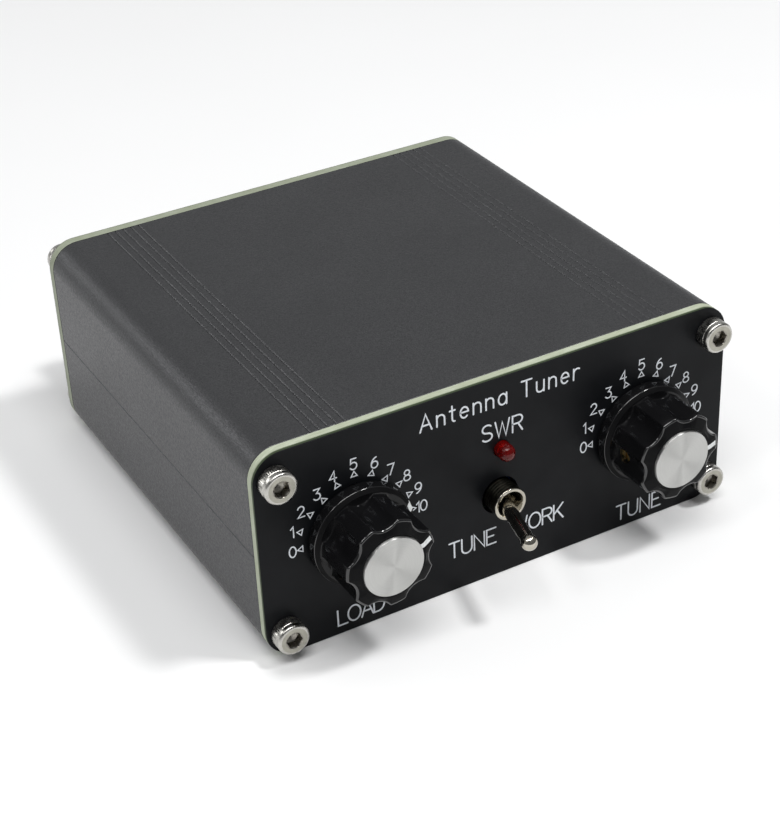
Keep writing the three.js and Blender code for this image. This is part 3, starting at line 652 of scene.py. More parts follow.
def channel_points():
    """A round screw channel in a round boss in the corner, open towards the inside."""
    x, _, z = SCREWS["lower_right"]
    wall_deg = math.degrees(math.acos((CASE_WIDTH / 2 - WALL - x) / CHANNEL_BOSS))
    floor_deg = 180 + math.degrees(math.asin((z - WALL) / CHANNEL_BOSS))
    mouth_deg = math.degrees(math.asin(CHANNEL_MOUTH / CHANNEL_BOSS))
    hole_deg = math.degrees(math.asin(CHANNEL_MOUTH / CHANNEL_RADIUS))
    return [
        *circle_arc(x, z, CHANNEL_BOSS, wall_deg, INWARD_DEG - mouth_deg, 8),
        *circle_arc(x, z, CHANNEL_RADIUS, INWARD_DEG - hole_deg, INWARD_DEG - 360 + hole_deg, 32),
        *circle_arc(x, z, CHANNEL_BOSS, INWARD_DEG + mouth_deg, floor_deg, 10),
    ]


def shell_outline(seam, flipped):
    """A half shell's section: grooves, corner, side wall, seam, board slot and screw channel, twice."""
    grooves = []
    for i in range(GROOVE_COUNT):
        x = GROOVE_FIRST_X + i * GROOVE_PITCH
        grooves += [(x - GROOVE_WIDTH / 2, 0), (x, GROOVE_DEPTH), (x + GROOVE_WIDTH / 2, 0)]
    outer = CASE_WIDTH / 2
    inner = outer - WALL
    corner = circle_arc(outer - CORNER, CORNER, CORNER, -90, 0, 16)
    board_low, board_high = (corners("main_board")[i].z for i in (0, 1))
    slot = board_high + SLOT_SPACE
    rib = inner - RIB_DEPTH
    ribs = [
        (inner, slot + RIB_THICK), (rib, slot + RIB_THICK), (rib, slot), (inner, slot),
        (inner, board_low), (rib, board_low), (rib, board_low - RIB_THICK), (inner, board_low - RIB_THICK),
    ]
    right = [*grooves, *corner, *seam, *ribs, *channel_points()]
    outline = right + [(-x, z) for x, z in reversed(right)]
    if flipped:
        outline = [(-x, CASE_HEIGHT - z) for x, z in outline]
    return outline


def seam_step(lip, height):
    """The seam's chamfer, then a step up or down to the inner wall."""
    outer = CASE_WIDTH / 2
    middle = CASE_HEIGHT / 2
    chamfer = [(outer, middle - SEAM_CHAMFER), (outer - SEAM_CHAMFER, middle)]
    return [*chamfer, (lip, middle), (lip, middle + height), (outer - WALL, middle + height)]


def make_shells():
    lip = CASE_WIDTH / 2 - WALL + SEAM_TONGUE
    tongue = seam_step(lip, SEAM_HEIGHT)
    rabbet = seam_step(lip + SEAM_GAP, -SEAM_HEIGHT - SEAM_GAP)
    for name, seam, flipped in (("bottom_shell", tongue, False), ("top_shell", rabbet, True)):
        solid = along_y(shell_outline(seam, flipped), CASE_LOW.y, CASE_HIGH.y, EDGE)
        piece(name + "_extrusion", "case", CASE_LOOK, solid, None, [name])


# ---- end panels and their screws ----

SOCKETS = ("radio", "antenna")
POSTS = {"red": RED_LOOK, "black": BLACK_LOOK}
M3_CLEAR = 1.7
SHAFT_HOLE = 3.8
SWITCH_HOLE = 3.45
LAMP_HOLE = 1.55
COUNTERSINK = 2.25
MOUNT_SCREW_OFFSET = 6.3
SOCKET_HOLE = 6.5
POST_HOLE = 3.1
SCREW_HEAD = 2.75
SCREW_HEAD_HEIGHT = 3.0
SCREW_SHANK = 1.35
SCREW_LENGTH = 10.0
KNURLS = 48
SCREW_POINTS = 192
SOCKET_FLATS = 2.5
KNURL_DEPTH = 0.065


def make_panels():
    corner_holes = [(place.x, place.z, M3_CLEAR) for place in SCREWS.values()]
    front_holes = [(SWITCH.x, SWITCH.z, SWITCH_HOLE), (LAMP.x, LAMP.z, LAMP_HOLE)]
    for dial in DIALS.values():
        front_holes.append((dial.x, dial.z, SHAFT_HOLE))
        for offset in (-MOUNT_SCREW_OFFSET, MOUNT_SCREW_OFFSET):
            front_holes.append((dial.x, dial.z + offset, COUNTERSINK))
    rear_holes = []
    for kind, names, radius in (("_socket_nut", SOCKETS, SOCKET_HOLE), ("_post_stud", POSTS, POST_HOLE)):
        for name in names:
            place = centre(name + kind)
            rear_holes.append((place.x, place.z, radius))
    # The last number in each row darkens the laminate's colours: the rear panel's 0.7 is painted shade on
    # its edge.
    for name, holes, span, outer, inward, line, shade in (
        ("front_panel", front_holes, (FRONT, FRONT + PANEL), FRONT, 1.0, 0.6, 1.0),
        ("rear_panel", rear_holes, (REAR - PANEL, REAR), REAR, -1.0, 0.2, 0.7),
    ):
        looks = [MASK_LOOK, laminate_look(name + "_laminate", outer, inward, line, shade)]
        solid = plate([*corner_holes, *holes], *span, EDGE)
        piece(name + "_board", "case", looks, solid, None, [name])


def hexagon(across_flats):
    """Radius of a hexagon as a function of the angle."""
    return lambda angle: across_flats / 2 / cos((angle + pi / 6) % (pi / 3) - pi / 6)


def knurl(angle):
    """Radius of a screw head with a straight knurl of triangular teeth."""
    tooth = angle * KNURLS / (2 * pi) % 1
    return SCREW_HEAD - KNURL_DEPTH * abs(2 * tooth - 1)


def cap_screw():
    """A socket cap screw from its tip to its socket's floor. Its flat face has material 1, its socket 2."""
    head = SCREW_HEAD
    top = SCREW_HEAD_HEIGHT
    hexagon_radius = hexagon(SOCKET_FLATS)
    crown = rounded([(head, 1.85), (head, top, 0.45), (2.2, top)], 8)[1:-1]
    outside = [
        (SCREW_SHANK - 0.3, -SCREW_LENGTH),
        (SCREW_SHANK, -SCREW_LENGTH + 0.3),
        (SCREW_SHANK, 0.02),
        (head - 0.25, 0.02),
        (head - 0.12, 0.12),
        (knurl, 0.22),
        (knurl, 1.82),
        (head - 0.1, 1.92),
        (head - 0.02, 1.98),
        *crown,
        (2.25, top),
    ]
    socket = [
        (1.5, top),
        (hexagon_radius, top - 0.12),
        (hexagon_radius, top - 1.5),
        (0.9, top - 1.62),
        (0.2, top - 2.0),
    ]
    vertices, faces = turned(outside + socket, SCREW_POINTS)
    face_band = len(outside) - 1
    looks = [min(max(i // SCREW_POINTS - face_band, -1), 1) + 1 for i in range(len(faces))]
    return vertices, faces, looks


def make_screws():
    solid = cap_screw()
    looks = [SCREW_LOOK, SCREW_FACE_LOOK, SCREW_SOCKET_SHADE_LOOK]
    for end, stand in (("front", on_front), ("rear", on_rear)):
        for place, at in SCREWS.items():
            node = f"{end}_screw_{place}"
            tightened = moved(solid, about_z(SCREW_TURNS[place]))
            piece(node + "_m3", "case", looks, tightened, stand(at), [node], sharp_deg=20)


# ---- printing on the front panel: generic words and dial numbers in a single-stroke letter ----

PRINT_THICK = 0.02
LAYER_STEP = 0.004
WORD_HEIGHT = 3.0
WORD_STROKE = 0.3
NUMBER_HEIGHT = 1.95
NUMBER_STROKE = 0.23
SCALE_STEP_DEG = 18
# The radii on which the numbers 0 to 10 and their triangles stand, uneven as on the real print.
NUMBER_CIRCLES = (11.35, 11.8, 11.65, 11.1, 11.75, 12.2, 11.75, 11.0, 11.45, 11.75, 11.65)
MARK_CIRCLES = (9.9, 10.3, 9.75, 9.3, 9.8, 10.25, 9.8, 9.25, 9.65, 10.0, 10.0)
MARK_SIZE = 0.62
MARK_STROKE = 0.2
DIGIT_GAP = 0.28
SPACE_WIDTH = 0.3

# Strokes of each letter in a cell one high; a stroke that ends where it began is closed.
LETTERS = {
    "A": [[(0, 0), (0.35, 1), (0.7, 0)], [(0.12, 0.34), (0.58, 0.34)]],
    "D": [[(0, 0), (0, 1), *arc(0.26, 0.5, 0.38, 0.5, 90, -90), (0, 0)]],
    "E": [[(0.58, 0), (0, 0), (0, 1), (0.58, 1)], [(0, 0.52), (0.44, 0.52)]],
    "K": [[(0, 0), (0, 1)], [(0.6, 1), (0, 0.36)], [(0.22, 0.6), (0.62, 0)]],
    "L": [[(0, 1), (0, 0), (0.56, 0)]],
    "N": [[(0, 0), (0, 1), (0.64, 0), (0.64, 1)]],
    "O": [arc(0.38, 0.5, 0.38, 0.5, 90, 450, 28)],
    "R": [[(0, 0), (0, 1), *arc(0.36, 0.75, 0.26, 0.25, 90, -90), (0, 0.5)], [(0.34, 0.5), (0.62, 0)]],
    "S": [[*arc(0.32, 0.75, 0.29, 0.25, 35, 270), *arc(0.32, 0.25, 0.31, 0.25, 90, -150)[1:]]],
    "T": [[(0, 1), (0.64, 1)], [(0.32, 1), (0.32, 0)]],
    "U": [[(0, 1), *arc(0.32, 0.32, 0.32, 0.32, 180, 360), (0.64, 1)]],
    "W": [[(0, 1), (0.22, 0), (0.44, 0.9), (0.66, 0), (0.88, 1)]],
    "a": [arc(0.25, 0.33, 0.25, 0.33, 90, 450, 24), [(0.5, 0.68), (0.5, 0)]],
    "e": [[(0.02, 0.35), (0.49, 0.35), *arc(0.25, 0.33, 0.24, 0.33, 12, 312, 18)]],
    "n": [[(0, 0), (0, 0.68)], [(0, 0.42), *arc(0.23, 0.43, 0.23, 0.23, 180, 0), (0.46, 0)]],
    "r": [[(0, 0), (0, 0.68)], [(0, 0.36), *arc(0.24, 0.4, 0.24, 0.26, 165, 60)]],
    "t": [[(0.15, 0.95), (0.15, 0.18), *arc(0.3, 0.16, 0.15, 0.16, 180, 270)], [(0, 0.68), (0.32, 0.68)]],
    "u": [[(0, 0.68), *arc(0.23, 0.23, 0.23, 0.23, 180, 360), (0.46, 0.23)], [(0.46, 0.68), (0.46, 0)]],
    "0": [arc(0.3, 0.5, 0.3, 0.5, 90, 450, 24)],
    "1": [[(0.05, 0.78), (0.27, 1), (0.27, 0)]],
    "2": [[*arc(0.3, 0.71, 0.28, 0.29, 165, -30), (0, 0), (0.6, 0)]],
    "3": [[(0.02, 1), (0.54, 1), (0.25, 0.62), *arc(0.26, 0.31, 0.31, 0.31, 80, -150)]],
    "4": [[(0.44, 0), (0.44, 1), (0, 0.32), (0.62, 0.32)]],
    "5": [[(0.54, 1), (0.08, 1), (0.04, 0.56), *arc(0.28, 0.33, 0.31, 0.33, 125, -150)]],
    "6": [arc(0.3, 0.31, 0.29, 0.31, 90, 450, 20), arc(0.62, 0.34, 0.61, 0.66, 105, 178, 8)],
    "7": [[(0, 1), (0.58, 1), (0.2, 0)]],
    "8": [arc(0.3, 0.76, 0.24, 0.24, 90, 450, 18), arc(0.3, 0.26, 0.3, 0.26, 90, 450, 18)],
    "9": [arc(0.3, 0.69, 0.29, 0.31, 90, 450, 20), arc(-0.02, 0.66, 0.61, 0.66, 285, 358, 8)],
}


def width_of(letter):
    return max(x for line in LETTERS[letter] for x, _ in line)


def lettering(text, left, base, height, line_width, gap):
    """Ribbons for a word that starts at left, with that gap between its letters."""
    solids = []
    x = left
    for letter in text:
        if letter == " ":
            x += SPACE_WIDTH * height + gap
            continue
        for layer, line in enumerate(LETTERS[letter]):
            points = [(x + px * height, base + py * height) for px, py in line]
            closed = math.dist(points[0], points[-1]) < 1e-6
            thick = PRINT_THICK + layer * LAYER_STEP
            solids.append(stroke(points[:-1] if closed else points, line_width, thick, closed))
        x += width_of(letter) * height + gap
    return solids


def word(text, left, right, base):
    """A word spaced to fill the width from left to right."""
    spaces = text.count(" ")
    letters = sum(width_of(letter) for letter in text if letter != " ")
    free = right - left - WORD_HEIGHT * (letters + SPACE_WIDTH * spaces)
    return lettering(text, left, base, WORD_HEIGHT, WORD_STROKE, free / (len(text) - 1))


def scale_print(dial):
    """Numbers 0 to 10 over the dial's upper half, each with an outlined triangle that points to it."""
    solids = []
    for number, (circle, mark_circle) in enumerate(zip(NUMBER_CIRCLES, MARK_CIRCLES)):
        angle = radians(180 - SCALE_STEP_DEG * number)
        text = str(number)
        width = sum(width_of(digit) for digit in text) * NUMBER_HEIGHT + DIGIT_GAP * (len(text) - 1)
        x = dial.x + circle * cos(angle) - width / 2
        z = dial.z + circle * sin(angle) - NUMBER_HEIGHT / 2
        solids += lettering(text, x, z, NUMBER_HEIGHT, NUMBER_STROKE, DIGIT_GAP)
        mark = Vector((dial.x + mark_circle * cos(angle), dial.z + mark_circle * sin(angle)))
        tips = [angle + k * 2 * pi / 3 for k in (0, 1, -1)]
        points = [mark + MARK_SIZE * Vector((cos(a), sin(a))) for a in tips]
        solids.append(stroke(points, MARK_STROKE, PRINT_THICK, True))
    return merged(*solids)


def make_printing():
    plane = on_front(Vector((0, 0, 0)))
    words = merged(
        *word("Antenna Tuner", -15.1, 14.6, 32.8),
        *word("SWR", -3.9, 3.7, 26.9),
        *word("TUNE", -10.5, -1.6, 6.6),
        *word("WORK", 1.9, 11.7, 6.6),
        *word("LOAD", -31.4, -22.9, 1.7),
        *word("TUNE", 22.7, 31.9, 1.5),
    )
    piece("front_words", "case", INK_LOOK, words, plane)
    for name, dial in DIALS.items():
        piece(name + "_scale", "case", INK_LOOK, scale_print(dial), plane)


# ---- dials ----

LOBES = 7
LOBE_RADIUS = 7.8
FLUTE_RADIUS = 6.75
FLUTE_DEG = 32
SKIRT_RADIUS = 8.9
KNOB_START = 0.5
SKIRT_TOP = 3.0
LOBE_TOP = 11.0
FACE_TOP = 11.5
CAP_SEAT = 11.3
CAP_RADIUS = 5.2
CAP_THICK = 0.6
FACE_EDGE = (CAP_RADIUS + 0.55, FACE_TOP)
SOFT_EDGE = 0.08
SET_SCREW_OUT = 5.3
KNOB_POINTS = LOBES * 56
BORE = 4.6
POINTER_WIDTH = 0.85
KNOB_EDGE = 0.38
SKIRT_EDGE = [(SKIRT_RADIUS, 2.45, 0.24), (8.2, SKIRT_TOP)]
SKIRT_MARK_WIDTH = 1.5
EDGE_STEPS = 5
FLUTE_BLEND = 0.1
SET_SCREW_START = 9.0
SET_SCREW_HOLE = [(1.3, 0), (1.3, 5.5)]


def lobe_radius(angle):
    """Radius of the fluted body: round lobes and scooped flutes, blended at their corners."""
    half_flute = radians(FLUTE_DEG / 2)
    chord = LOBE_RADIUS * sin(half_flute)
    sagitta = LOBE_RADIUS * cos(half_flute) - FLUTE_RADIUS
    scoop = (chord ** 2 + sagitta ** 2) / (2 * sagitta)
    reach = FLUTE_RADIUS + scoop
    sector = 2 * pi / LOBES
    away = angle % sector - sector / 2
    inside = scoop ** 2 - (reach * sin(away)) ** 2
    if inside <= 0:
        return LOBE_RADIUS
    hollow = reach * cos(away) - math.sqrt(inside)
    overlap = max(FLUTE_BLEND - abs(LOBE_RADIUS - hollow), 0)
    return min(LOBE_RADIUS, hollow) - overlap ** 2 / (4 * FLUTE_BLEND)


def body_radius(less):
    return lambda angle: lobe_radius(angle) - less


def knob():
    """The knob from the top of its bore, under the skirt, up the flutes and over its face."""
    steps = [
        (0.3, 9.6), (BORE, 9.6), (BORE, KNOB_START),
        (5.8, KNOB_START), (5.8, 1.6), (8.0, 1.6), (8.0, KNOB_START),
        *rounded([(8.3, KNOB_START), (SKIRT_RADIUS, KNOB_START, 0.18), *SKIRT_EDGE], EDGE_STEPS),
    ]
    cone = len(steps) - 2
    steps += [
        (body_radius(-0.28), SKIRT_TOP),
        (body_radius(-0.1), SKIRT_TOP + 0.06),
        (body_radius(0), SKIRT_TOP + 0.3),
        (body_radius(0), LOBE_TOP - KNOB_EDGE),
    ]
    glossy = len(steps)
    for k in range(1, EDGE_STEPS + 1):
        turn = k * pi / 2 / EDGE_STEPS
        steps.append((body_radius(KNOB_EDGE * (1 - cos(turn))), LOBE_TOP - KNOB_EDGE * (1 - sin(turn))))
    steps += [
        (body_radius(KNOB_EDGE + 0.05), LOBE_TOP + 0.01),
        FACE_EDGE,
        (CAP_RADIUS + 0.22, FACE_TOP),
        (CAP_RADIUS + 0.14, FACE_TOP - 0.06),
        (CAP_RADIUS + 0.14, CAP_SEAT),
        (0.3, CAP_SEAT),
    ]
    vertices, faces = turned(steps, KNOB_POINTS)
    face_first = glossy + EDGE_STEPS - 1
    satin = {cone, *range(face_first, face_first + 3)}
    polished = {*range(cone - EDGE_STEPS, cone), *range(glossy, face_first)}
    bands = [i // KNOB_POINTS for i in range(len(faces))]
    return vertices, faces, [1 if band in satin else 2 if band in polished else 0 for band in bands]


def band_over(path, width, thick):
    """A painted band across local y that follows (x, z) points on a surface, slightly proud of it."""
    rings = []
    for i, here in enumerate(path):
        after = path[min(i + 1, len(path) - 1)]
        before = path[max(i - 1, 0)]
        along = (Vector(after) - Vector(before)).normalized()
        outward = Vector((-along.y, along.x)) * thick
        x, z = Vector(here) - outward
        top_x, top_z = Vector(here) + outward
        half = width / 2
        rings.append([(x, -half, z), (x, half, z), (top_x, half, top_z), (top_x, -half, top_z)])
    return loft(rings)


def make_dial(name):
    body = name + "_dial"
    stand = on_front(DIALS[name])
    turn = about_z(POINTER_DEG[name])
    looks = [KNOB_LOOK, KNOB_FACE_LOOK, KNOB_EDGE_LOOK]
    made = piece(name + "_knob_body", body, looks, moved(knob(), turn), stand, [name + "_knob"])
    sideways = Matrix.Translation((-SET_SCREW_START, 0, SET_SCREW_OUT)) @ Matrix.Rotation(pi / 2, 4, "Y")
    carve(made, moved(turned(SET_SCREW_HOLE, 40), turn @ sideways), stand)
    top = CAP_SEAT + CAP_THICK
    disc = [(0.2, CAP_SEAT), (CAP_RADIUS, CAP_SEAT), (CAP_RADIUS, top, 0.14), (0.2, top)]
    disc = turned(disc, 160, steps=EDGE_STEPS)
    piece(name + "_knob_disc", body, SPUN_LOOK, disc, stand, [name + "_knob_cap"])
    face = [(CAP_RADIUS + 0.02, FACE_TOP), FACE_EDGE, (LOBE_RADIUS - 0.5, LOBE_TOP + 0.04)]
    rim = rounded([(8.1, SKIRT_TOP), (8.18, SKIRT_TOP), *SKIRT_EDGE[:1], (SKIRT_RADIUS, 1.9)])
    paint = merged(band_over(face, POINTER_WIDTH, 0.025), band_over(rim, SKIRT_MARK_WIDTH, 0.03))
    piece(name + "_pointer", body, POINTER_LOOK, moved(paint, turn), stand)
    for part in ("knob_insert", "set_screw", "capacitor_rotor", "capacitor_stator"):
        dress(f"{name}_{part}", BRASS_LOOK)
    for part in ("shaft_screw", "mount_screw_1", "mount_screw_2"):
        dress(f"{name}_{part}", SCREW_LOOK, SOFT_EDGE)
    dress(name + "_shaft_extension", SHAFT_LOOK, SOFT_EDGE)
    dress(name + "_capacitor_case", CAPACITOR_LOOK, 0.25)


# ---- toggle switch and lamp ----

BUSHING_RADIUS = 2.95
BUSHING_BORE = 1.6
BUSHING_MOUTH = 2.4
BUSHING_OUT = 3.3
BUSHING_BACK = -3.5
THREAD_PITCH = 0.6
THREAD_DEPTH = 0.14
THREAD_STEPS_A_TURN = 10
BUSHING_POINTS = 72
LEVER_PIVOT_OUT = 0.3
LEVER_TILT_DEG = 13.5
LEVER_BALL = 1.5
LEVER_REACH = 13.6
LEVER_TIP = 1.37
LEVER_TAIL = 4.6


def threaded_bushing():
    """A tube with a helical thread outside, in material 1, and a rounded, countersunk mouth."""
    radius = BUSHING_RADIUS
    end = BUSHING_OUT - 0.55
    steps = round((end - BUSHING_BACK) / THREAD_PITCH * THREAD_STEPS_A_TURN)
    thread = thread_rings(radius, THREAD_DEPTH, THREAD_PITCH, BUSHING_BACK, end, steps, BUSHING_POINTS)
    mouth = [
        (radius - 0.2, end), (radius, end + 0.12), (radius, BUSHING_OUT, 0.22),
        (BUSHING_MOUTH, BUSHING_OUT, 0.12), (BUSHING_BORE, BUSHING_OUT - 1.7), (BUSHING_BORE, BUSHING_BACK),
    ]
    vertices, faces = loft(thread + rings_of(mouth, BUSHING_POINTS, 6), loop=True)
    return vertices, faces, [1 if i // BUSHING_POINTS < len(thread) else 0 for i in range(len(faces))]


def lever():
    """The lever from its tail, through the ball on the pivot, along the stem to the ball-shaped tip."""
    ball = circle_arc(0, 0, LEVER_BALL, -62, 37, 12)
    tip = circle_arc(0, LEVER_REACH, LEVER_TIP, -30, 88, 24)
    return turned([(0.4, -LEVER_TAIL), (0.5, -LEVER_TAIL + 0.2), *ball, *tip])


def make_switch():
    stand = on_front(SWITCH)
    looks = [NICKEL_LOOK, THREAD_SHADE_LOOK]
    bushing = threaded_bushing()
    piece("toggle_thread", "case", looks, bushing, stand, ["toggle_bushing"], sharp_deg=28)
    lean = Matrix.Translation((0, 0, LEVER_PIVOT_OUT)) @ Matrix.Rotation(radians(-LEVER_TILT_DEG), 4, "Y")
    piece("toggle_bat", "switch_lever", NICKEL_LOOK, moved(lever(), lean), stand, ["toggle_lever"])
    dress("toggle_body", SWITCH_LOOK, 0.3)


LENS_RADIUS = 1.45
LENS_OUT = 2.9
LENS_FLANGE_OUT = -3.0
LEG_X = 1.27
LEG_BACK = 14.2


def make_lamp():
    stand = on_front(LAMP)
    back = LENS_FLANGE_OUT - 1
    front = LENS_FLANGE_OUT
    base = [(0.2, back), (LENS_FLANGE, back, 0.1), (LENS_FLANGE, front, 0.1), (LENS_RADIUS, front)]
    dome = circle_arc(0, LENS_OUT - LENS_RADIUS, LENS_RADIUS, 0, 88, 20)
    piece("lamp_lens", "case", LENS_LOOK, turned([*base, *dome]), stand, ["lamp"])
    drop = corners("lamp")[0].z - LAMP.z
    parts = [turned([(0.15, -3.2), (0.35, -1.2), (0.62, -0.4), (0.62, 0.25, 0.05), (0.2, 0.0)], 24)]
    for x in (-LEG_X, LEG_X):
        parts.append(block((x - 0.25, -0.25, -LEG_BACK), (x + 0.25, 0.25, LENS_FLANGE_OUT - 0.9), 0.05))
        parts.append(block((x - 0.25, drop, -LEG_BACK), (x + 0.25, 0.2, -LEG_BACK + 0.5), 0.05))
    piece("lamp_leads", "case", SCREW_LOOK, merged(*parts), stand)


# ---- rear sockets and binding posts ----

SOCKET_THREAD = 6.3
SOCKET_BARREL = 4.85
SOCKET_BORE = 4.05
SOCKET_LENGTH = 13.0
SOCKET_BLOCK_HALF = 7.25
SOCKET_BLOCK_BACK = -14.0
LUG_OUT = 10.5
SOCKET_PITCH = 0.8
SOCKET_THREAD_DEPTH = 0.24
SOCKET_THREAD_END = 4.2
SOCKET_THREAD_STEPS = 60
SOCKET_POINTS = 72
NUT_FLATS = 15.0
NUT_THICK = 2.2
NUT_CHAMFER = 0.9
NUT_CORNER_CUT = 0.95
NUT_STEPS = 6
NUT_POINTS = 96
POST_RADIUS = 5.5
POST_BORE = 3.05
POST_RIDGES = 20
POST_RIDGE_DEPTH = 0.55


def chamfered_nut(across_flats, hole, thick):
    """A hexagon nut whose corners are turned off at the outer face."""
    flats = hexagon(across_flats)
    corner = across_flats / math.sqrt(3)

    def turned_off(limit):
        return lambda angle: min(flats(angle), limit)

    profile = [(flats, 0.0), (flats, thick - NUT_CHAMFER)]
    for k in range(1, NUT_STEPS + 1):
        share = k / NUT_STEPS
        limit = corner - NUT_CORNER_CUT * share ** 1.5
        profile.append((turned_off(limit), thick - NUT_CHAMFER * (1 - share)))
    profile += [(hole + 0.3, thick), (hole, thick - 0.3), (hole, 0.0)]
    return turned(profile, NUT_POINTS, loop=True)


def socket_shell(low):
    """A panel socket: square body inside, threaded neck, then the bayonet barrel with two lugs."""
    start = -PANEL - 0.5
    span = (start, SOCKET_THREAD_END, SOCKET_THREAD_STEPS)
    rings = rings_of([(4.0, start - 0.1), (SOCKET_THREAD - 0.1, start - 0.1)], SOCKET_POINTS)
    rings += thread_rings(SOCKET_THREAD, SOCKET_THREAD_DEPTH, SOCKET_PITCH, *span, SOCKET_POINTS)
    barrel = [
        (SOCKET_THREAD - 0.4, 4.5), (SOCKET_BARREL, 4.5, 0.2), (SOCKET_BARREL, SOCKET_LENGTH, 0.25),
        (SOCKET_BORE, SOCKET_LENGTH, 0.15), (SOCKET_BORE, 2.5), (0.3, 2.5),
    ]
    rings += rings_of(barrel, SOCKET_POINTS, 5)
    body = block((-SOCKET_BLOCK_HALF, low, SOCKET_BLOCK_BACK), (SOCKET_BLOCK_HALF, 6.7, -PANEL), 0.3)
    pin = turned([(0.2, 4.4), (1.0, 4.4), (1.0, 5.55, 0.2), (0.2, 5.55)], 32)
    out = Matrix.Translation((0, 0, LUG_OUT))
    lugs = [moved(pin, out @ Matrix.Rotation(turn, 4, "X")) for turn in (pi / 2, -pi / 2)]
    return merged(body, loft(rings), *lugs)


def make_socket(name):
    node = name + "_socket"
    stand = on_rear(centre(node + "_nut"))
    low = corners(node)[0].z - centre(node + "_nut").z
    piece(node + "_body", "case", NICKEL_LOOK, socket_shell(low), stand, [node])
    nut = chamfered_nut(NUT_FLATS, SOCKET_THREAD + 0.1, NUT_THICK)
    piece(node + "_hex_nut", "case", NICKEL_LOOK, nut, stand, [node + "_nut"])
    insulator = turned([
        (0.75, 2.55), (SOCKET_BORE - 0.05, 2.55), (SOCKET_BORE - 0.05, 3.2, 0.1), (2.4, 3.2, 0.2),
        (2.4, 12.2, 0.2), (1.35, 12.2, 0.1), (1.35, 11.4), (0.75, 11.4),
    ], loop=True)
    piece(node + "_insulator", "case", PTFE_LOOK, insulator, stand, [node + "_contact"])
    pin = turned([
        (0.7, 2.6), (0.7, 11.6, 0.1), (1.1, 11.6, 0.05), (1.1, 11.9, 0.08), (0.45, 11.9, 0.1),
        (0.45, 8.0), (0.1, 7.8),
    ], 48)
    piece(node + "_pin", "case", BRASS_LOOK, pin, stand)


def ridged(share):
    """The grip's radius, with that share of the depth between its ridges."""
    depth = POST_RIDGE_DEPTH * share
    return lambda angle: POST_RADIUS - depth * (0.5 + 0.5 * cos(POST_RIDGES * angle)) ** 2


def make_post(name):
    look = POSTS[name]
    stand = on_rear(centre(name + "_post_stud"))
    radius = POST_RADIUS
    collar = turned([
        (POST_BORE, 0.0), (radius + 0.1, 0.0, 0.15), (radius + 0.1, 3.8, 0.2), (radius - 0.3, 4.2, 0.15),
        (POST_BORE, 4.2),
    ], 96, loop=True)
    node = name + "_post_collar"
    piece(node + "_ring", "case", look, collar, stand, [node])
    profile = [(POST_BORE, 4.5), (radius - 0.35, 4.5), (radius - 0.1, 4.62), (radius, 4.9), (radius, 5.4)]
    for height, share in ((5.7, 0.6), (6.1, 1.0), (12.6, 1.0), (13.0, 0.6), (13.3, 0.0)):
        profile.append((ridged(share), height))
    profile += [(radius, 13.5), (radius, 15.0, 0.7), (2.4, 15.0, 0.25), (2.3, 13.5), (POST_BORE, 13.5)]
    cap = turned(profile, 160, loop=True, steps=6)
    piece(name + "_post_grip", name + "_cap", look, cap, stand, [name + "_post_cap"])
    dress(name + "_post_stud", NICKEL_LOOK)


# ---- board and what stands on it ----

CORE_SECTION = 3.6
MAIN_TURNS = 26
LINK_TURNS = 5
WIRE_RADIUS = 0.36
WIRE_GAP = 0.12
WIRE_POINTS = 8
TURN_STEPS = 28


def winding(start_deg, stop_deg, turns):
    """Round wire wound about the toroid's section, as a helix that bends with the ring."""
    low, high = corners("toroid_core")
    middle_radius = (high.x - low.x - CORE_SECTION) / 2
    half_width = CORE_SECTION / 2 + WIRE_RADIUS + WIRE_GAP
    half_height = (high.z - low.z) / 2 + WIRE_RADIUS + WIRE_GAP
    middle_z = (high.z + low.z) / 2
    squareness = 0.35

    def bulged(value):
        return math.copysign(abs(value) ** squareness, value)

    rings = []
    for k in range(turns * TURN_STEPS + 1):
        done = k / TURN_STEPS
        around = 2 * pi * done
        bearing = radians(start_deg + (stop_deg - start_deg) * done / turns)
        outward = Vector((cos(bearing), sin(bearing), 0))
        side = Vector((-outward.y, outward.x, 0))
        normal = outward * cos(around) + Vector((0, 0, sin(around)))
        place = outward * (middle_radius + half_width * bulged(cos(around)))
        place.z = middle_z + half_height * bulged(sin(around))
        angles = [2 * pi * i / WIRE_POINTS for i in range(WIRE_POINTS)]
        rings.append([tuple(place + (normal * cos(a) + side * sin(a)) * WIRE_RADIUS) for a in angles])
    return loft(rings)


def make_board():
    dress("main_board", BOARD_LOOK, 0.1)
    dress("toroid_core", CORE_LOOK, 0.35)
    at = Matrix.Translation(Vector((centre("toroid_core").x, centre("toroid_core").y, 0)) * MM)
    for node, look, winding_solid in (
        ("main_winding", COPPER_LOOK, winding(-236, 36, MAIN_TURNS)),
        ("link_winding", LINK_LOOK, winding(54, 106, LINK_TURNS)),
    ):
        piece(node + "_wire", "case", look, winding_solid, at, [node])
    for number in ("1", "2", "3"):
        dress("bridge_resistor_" + number, RESISTOR_LOOK)
    dress("detector_diode", DIODE_LOOK)


# ---- floor, light and camera ----

FLOOR_SIZE = 3000.0
FLOOR_GAP = 0.02
AIM = Vector((-0.42, -4.89, 11.91))
CAMERA_DISTANCE = 343.0
CAMERA_AZIMUTH = -28.08
CAMERA_ELEVATION = 32.1
CAMERA_ROLL = -2.73
CAMERA_LENS = 83.93
FRONT_WORLD = 0.15
BACK_WORLD = 0.42

# Azimuth, elevation, distance from the aim, width, height and power of each soft light.
SOFTBOXES = {
    "key": (50, 60, 900, 115, 115, 3.6),
    "overhead": (-20, 68, 1300, 840, 500, 9.0),
    "left": (-72, 50, 900, 160, 160, 0.8),
    "left_back": (-140, 24, 800, 360, 200, 0.7),
}


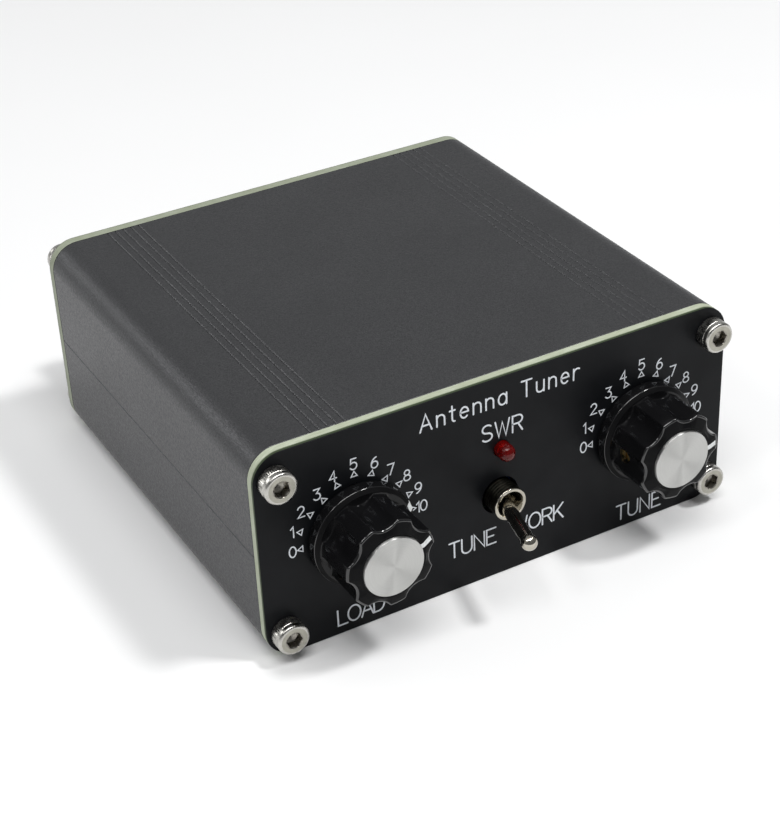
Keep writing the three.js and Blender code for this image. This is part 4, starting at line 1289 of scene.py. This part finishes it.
def direction(azimuth, elevation):
    """From the object outwards: azimuth 0 is in front, 90 to the right."""
    a = radians(azimuth)
    e = radians(elevation)
    return Vector((sin(a) * cos(e), -cos(a) * cos(e), sin(e)))


def facing_aim(azimuth, elevation, distance):
    """Stands that far from the aim in that direction and looks at it."""
    outward = direction(azimuth, elevation)
    turn = outward.to_track_quat("Z", "Y").to_matrix().to_4x4()
    return Matrix.Translation((AIM + outward * distance) * MM) @ turn


def make_camera():
    data = bpy.data.cameras.new("camera")
    data.lens = CAMERA_LENS
    data.sensor_width = 36
    data.clip_start = 0.01
    place = facing_aim(CAMERA_AZIMUTH, CAMERA_ELEVATION, CAMERA_DISTANCE) @ about_z(CAMERA_ROLL)
    bpy.context.scene.camera = add_object("camera", data, place)


def make_floor():
    half = FLOOR_SIZE / 2
    square = [(-half, -half, 0), (half, -half, 0), (half, half, 0), (-half, half, 0)]
    mesh = mesh_of("floor", (square, [(0, 1, 2, 3)]))
    look = Look("floor_paper", (0.89, 0.89, 0.89), 0.9, 0.0, {"Specular IOR Level": 0.1})
    look.paint(look.noise(60.0, 2.0), (0.88, 0.88, 0.88), (0.90, 0.90, 0.90))
    mesh.materials.append(look.material)
    floor = add_object("floor", mesh, Matrix.Translation((0, 0, (CASE_LOW.z - FLOOR_GAP) * MM)))


def make_softbox(name, azimuth, elevation, distance, width, height, power):
    data = bpy.data.lights.new(name, "AREA")
    data.shape = "RECTANGLE"
    data.size = width * MM
    data.size_y = height * MM
    data.energy = power
    add_object(name, data, facing_aim(azimuth, elevation, distance))


def make_light():
    """A pale studio whose backdrop is brighter than the side that the camera is on."""
    world = bpy.data.worlds.new("studio")
    world.use_nodes = True
    nodes = world.node_tree.nodes
    links = world.node_tree.links
    background = nodes["Background"]
    background.inputs["Color"].default_value = (0.97, 0.985, 1.0, 1)
    towards = nodes.new("ShaderNodeSeparateXYZ")
    strength = nodes.new("ShaderNodeMapRange")
    ramp = {"From Min": -0.5, "From Max": 0.7, "To Min": FRONT_WORLD, "To Max": BACK_WORLD}
    for socket, value in ramp.items():
        strength.inputs[socket].default_value = value
    links.new(nodes.new("ShaderNodeTexCoord").outputs["Generated"], towards.inputs[0])
    links.new(towards.outputs["Y"], strength.inputs["Value"])
    links.new(strength.outputs[0], background.inputs["Strength"])
    bpy.context.scene.world = world
    for name, values in SOFTBOXES.items():
        make_softbox(name, *values)
    bpy.context.scene.view_settings.view_transform = "Standard"


make_camera()
make_floor()
make_light()
make_shells()
make_panels()
make_screws()
make_printing()
for dial_name in DIALS:
    make_dial(dial_name)
make_switch()
make_lamp()
make_board()
for socket_name in SOCKETS:
    make_socket(socket_name)
for post_name in POSTS:
    make_post(post_name)
